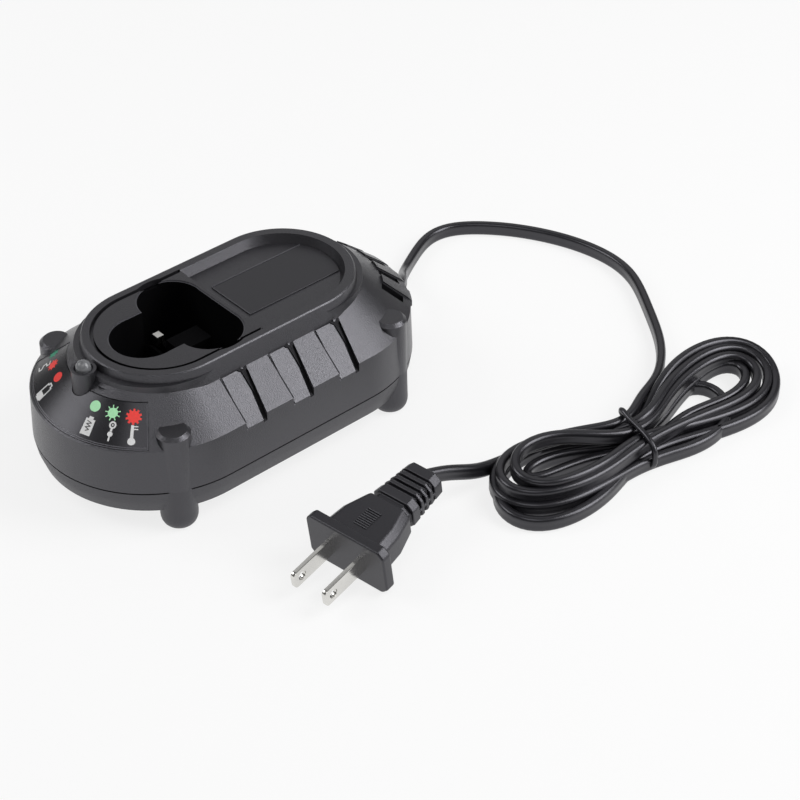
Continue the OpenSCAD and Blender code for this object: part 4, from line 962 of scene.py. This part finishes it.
# Ink, shape and place on the nose of each mark
LEGEND = [
    ("green_ink", disc(1.85), (9.2, -58.2)),
    ("green_ink", disc(1.65) + rays(1.6, 2.45, 0.34, 9), (15.3, -55.9)),
    ("red_ink", disc(1.95) + rays(1.8, 2.3, 0.7, 10), (21.0, -52.0)),
    ("white_ink", BATTERY, (11.3, -62.9)),
    ("dark_ink", ZIGZAG, (11.3, -62.9)),
    ("white_ink", LAMP, (18.4, -59.2)),
    ("white_ink", THERMOMETER, (24.0, -55.3)),
    ("teal_ink", disc(1.6) + rays(1.6, 2.1, 0.4, 8), (-24.6, -50.8)),
    ("red_ink", disc(1.7) + rays(1.6, 2.1, 0.5, 9), (-19.1, -54.9)),
    ("red_ink", disc(1.85), (-11.7, -58.0)),
    ("white_ink", SQUIGGLE, (-23.3, -55.8)),
    ("white_ink", CELL_LINE + stroke(2.4, (0.0, -2.9), (0.0, -2.0)), (-12.8, -62.7)),
]


class CHARGER_OT_legend(Operator):
    """Prints the plain symbols that explain the status light on the nose label"""
    bl_idname = "charger.legend"
    bl_label = "Legend"

    def execute(self, context):
        look = context.scene.charger_finish
        colours = {"green_ink": look.green, "red_ink": look.red, "white_ink": (0.8, 0.8, 0.8),
            "dark_ink": look.film, "teal_ink": (0.03, 0.30, 0.17)}
        for name, colour in colours.items():
            bm = bmesh.new()
            for kind, shapes, (x, y) in LEGEND:
                if kind == name:
                    self.print_on(bm, shapes, x, y, TOP_INK_RISE if name == "dark_ink" else INK_RISE)
            added("legend_" + name, bm, ink(name, colour))
        self.rim(look)
        return {"FINISHED"}

    def place(self, radius, azimuth, height):
        """A point on the label's cone, height above its film."""
        z = SHOULDER_Z + math.tan(SLOPE) * (SHOULDER_R - radius) - LABEL_SINK
        out = math.sin(SLOPE) * height
        return Vector(((radius + out) * math.sin(azimuth), -END_Y - (radius + out) * math.cos(azimuth),
            z + math.cos(SLOPE) * height)) * MM

    def print_on(self, bm, shapes, x, y, height):
        """Flat shapes laid on the nose around a place seen from above."""
        middle, azimuth = math.hypot(x, y + END_Y), math.atan2(x, -(y + END_Y))
        for shape in shapes:
            skin(bm, [[bm.verts.new(self.place(middle - b * math.cos(SLOPE), azimuth + a / middle, h))
                for a, b in shape] for h in (UNDER_FILM, height)])

    def rim(self, look):
        """The film's moulded rim: two fine beads below the label and one at each of its ends, lighter as a
        painted highlight.
        """
        bm = bmesh.new()
        for radius, reach in LOWER_BEADS:
            self.bead(bm, [(radius, math.radians(-reach + 2 * reach * k / 60)) for k in range(61)])
        for sign in (-1, 1):
            self.bead(bm, [(END_BEAD_R - END_BEAD_LENGTH * k / 8, sign * math.radians(END_BEAD_TURN))
                for k in range(9)])
        # The beads' lighter colour is a painted highlight
        added("label_rim", bm, moulded("rim_highlight_plastic", tone(look.housing, 3.2), 0.35))

    def bead(self, bm, route):
        """A four-sided bead along a row of radii and azimuths on the nose."""
        rings = []
        for k, (radius, azimuth) in enumerate(route):
            (r0, a0), (r1, a1) = route[max(k - 1, 0)], route[min(k + 1, len(route) - 1)]
            dr, da = r1 - r0, (a1 - a0) * radius
            length = math.hypot(dr, da)
            u, v = -da / length * BEAD_HALF_W, dr / length * BEAD_HALF_W
            rings.append([bm.verts.new(self.place(radius + side * u, azimuth + side * v / radius, height))
                for side, height in ((1, UNDER_FILM), (1, BEAD_RISE), (-1, BEAD_RISE), (-1, UNDER_FILM))])
        skin(bm, rings)


class CHARGER_OT_light(Operator):
    """Finishes the status light"""
    bl_idname = "charger.light"
    bl_label = "Status light"

    def execute(self, context):
        dress("status_light", lamp_resin("lamp_resin"))
        return {"FINISHED"}


class CHARGER_OT_inside(Operator):
    """Finishes the circuit board, its components, the wires and the screws"""
    bl_idname = "charger.inside"
    bl_label = "Inside"

    def execute(self, context):
        board = board_resin("board_resin")
        case = moulded("component_epoxy", (0.02, 0.02, 0.021), 0.5)
        zinc = metal("zinc_plate", (0.62, 0.62, 0.64), 0.3, (400.0, 400.0, 400.0))
        for node, material in (
                ("circuit_board", board),
                ("light_board", board),
                ("transformer_core", ferrite("ferrite")),
                ("transformer_coil", winding_tape("coil_tape", (0.72, 0.5, 0.08))),
                ("input_capacitor", sleeve("input_sleeve", (0.02, 0.02, 0.05))),
                ("output_capacitors", sleeve("output_sleeve", (0.01, 0.03, 0.02))),
                ("line_choke", copper_turns("copper_turns")),
                ("line_fuse", fuse_ceramic("fuse_body")),
                ("bridge_rectifier", case),
                ("power_transistor", case),
                ("heat_sink", metal("sink_metal", (0.72, 0.73, 0.75), 0.34, (900.0, 6.0, 900.0))),
                ("output_leads", wire_jacket("red_jacket", (0.5, 0.02, 0.02))),
                ("mains_leads", wire_jacket("dark_jacket", (0.02, 0.02, 0.022))),
                ("light_leads", wire_jacket("white_jacket", (0.7, 0.7, 0.68))),
                ("board_screws", zinc),
                ("housing_screws", zinc)):
            dress(node, material)
        return {"FINISHED"}


class CHARGER_PT_pieces(Panel):
    """Lists the charger's settings and the operators that make its pieces"""
    bl_idname = "CHARGER_PT_pieces"
    bl_label = "Charger"
    bl_space_type = "VIEW_3D"
    bl_region_type = "UI"
    bl_category = "Charger"

    def draw(self, context):
        column = self.layout.column()
        for group in GROUPS:
            settings = getattr(context.scene, group)
            for name in settings.__annotations__:
                column.prop(settings, name)
        for step in STEPS:
            column.operator(step.bl_idname)


GROUPS = {"charger_finish": ChargerFinish, "charger_cord": ChargerCord, "charger_studio": ChargerStudio}
STEPS = (CHARGER_OT_studio, CHARGER_OT_plug, CHARGER_OT_cord, CHARGER_OT_housing, CHARGER_OT_well,
    CHARGER_OT_labels, CHARGER_OT_legend, CHARGER_OT_light, CHARGER_OT_inside)
CLASSES = (*GROUPS.values(), *STEPS, CHARGER_PT_pieces)


def register():
    for made in CLASSES:
        bpy.utils.register_class(made)
    for name, group in GROUPS.items():
        setattr(bpy.types.Scene, name, PointerProperty(type=group))


def unregister():
    for name in GROUPS:
        delattr(bpy.types.Scene, name)
    for made in reversed(CLASSES):
        bpy.utils.unregister_class(made)


def main():
    register()
    for step in STEPS:
        group, name = step.bl_idname.split(".")
        getattr(getattr(bpy.ops, group), name)()


if __name__ == "__main__":
    main()
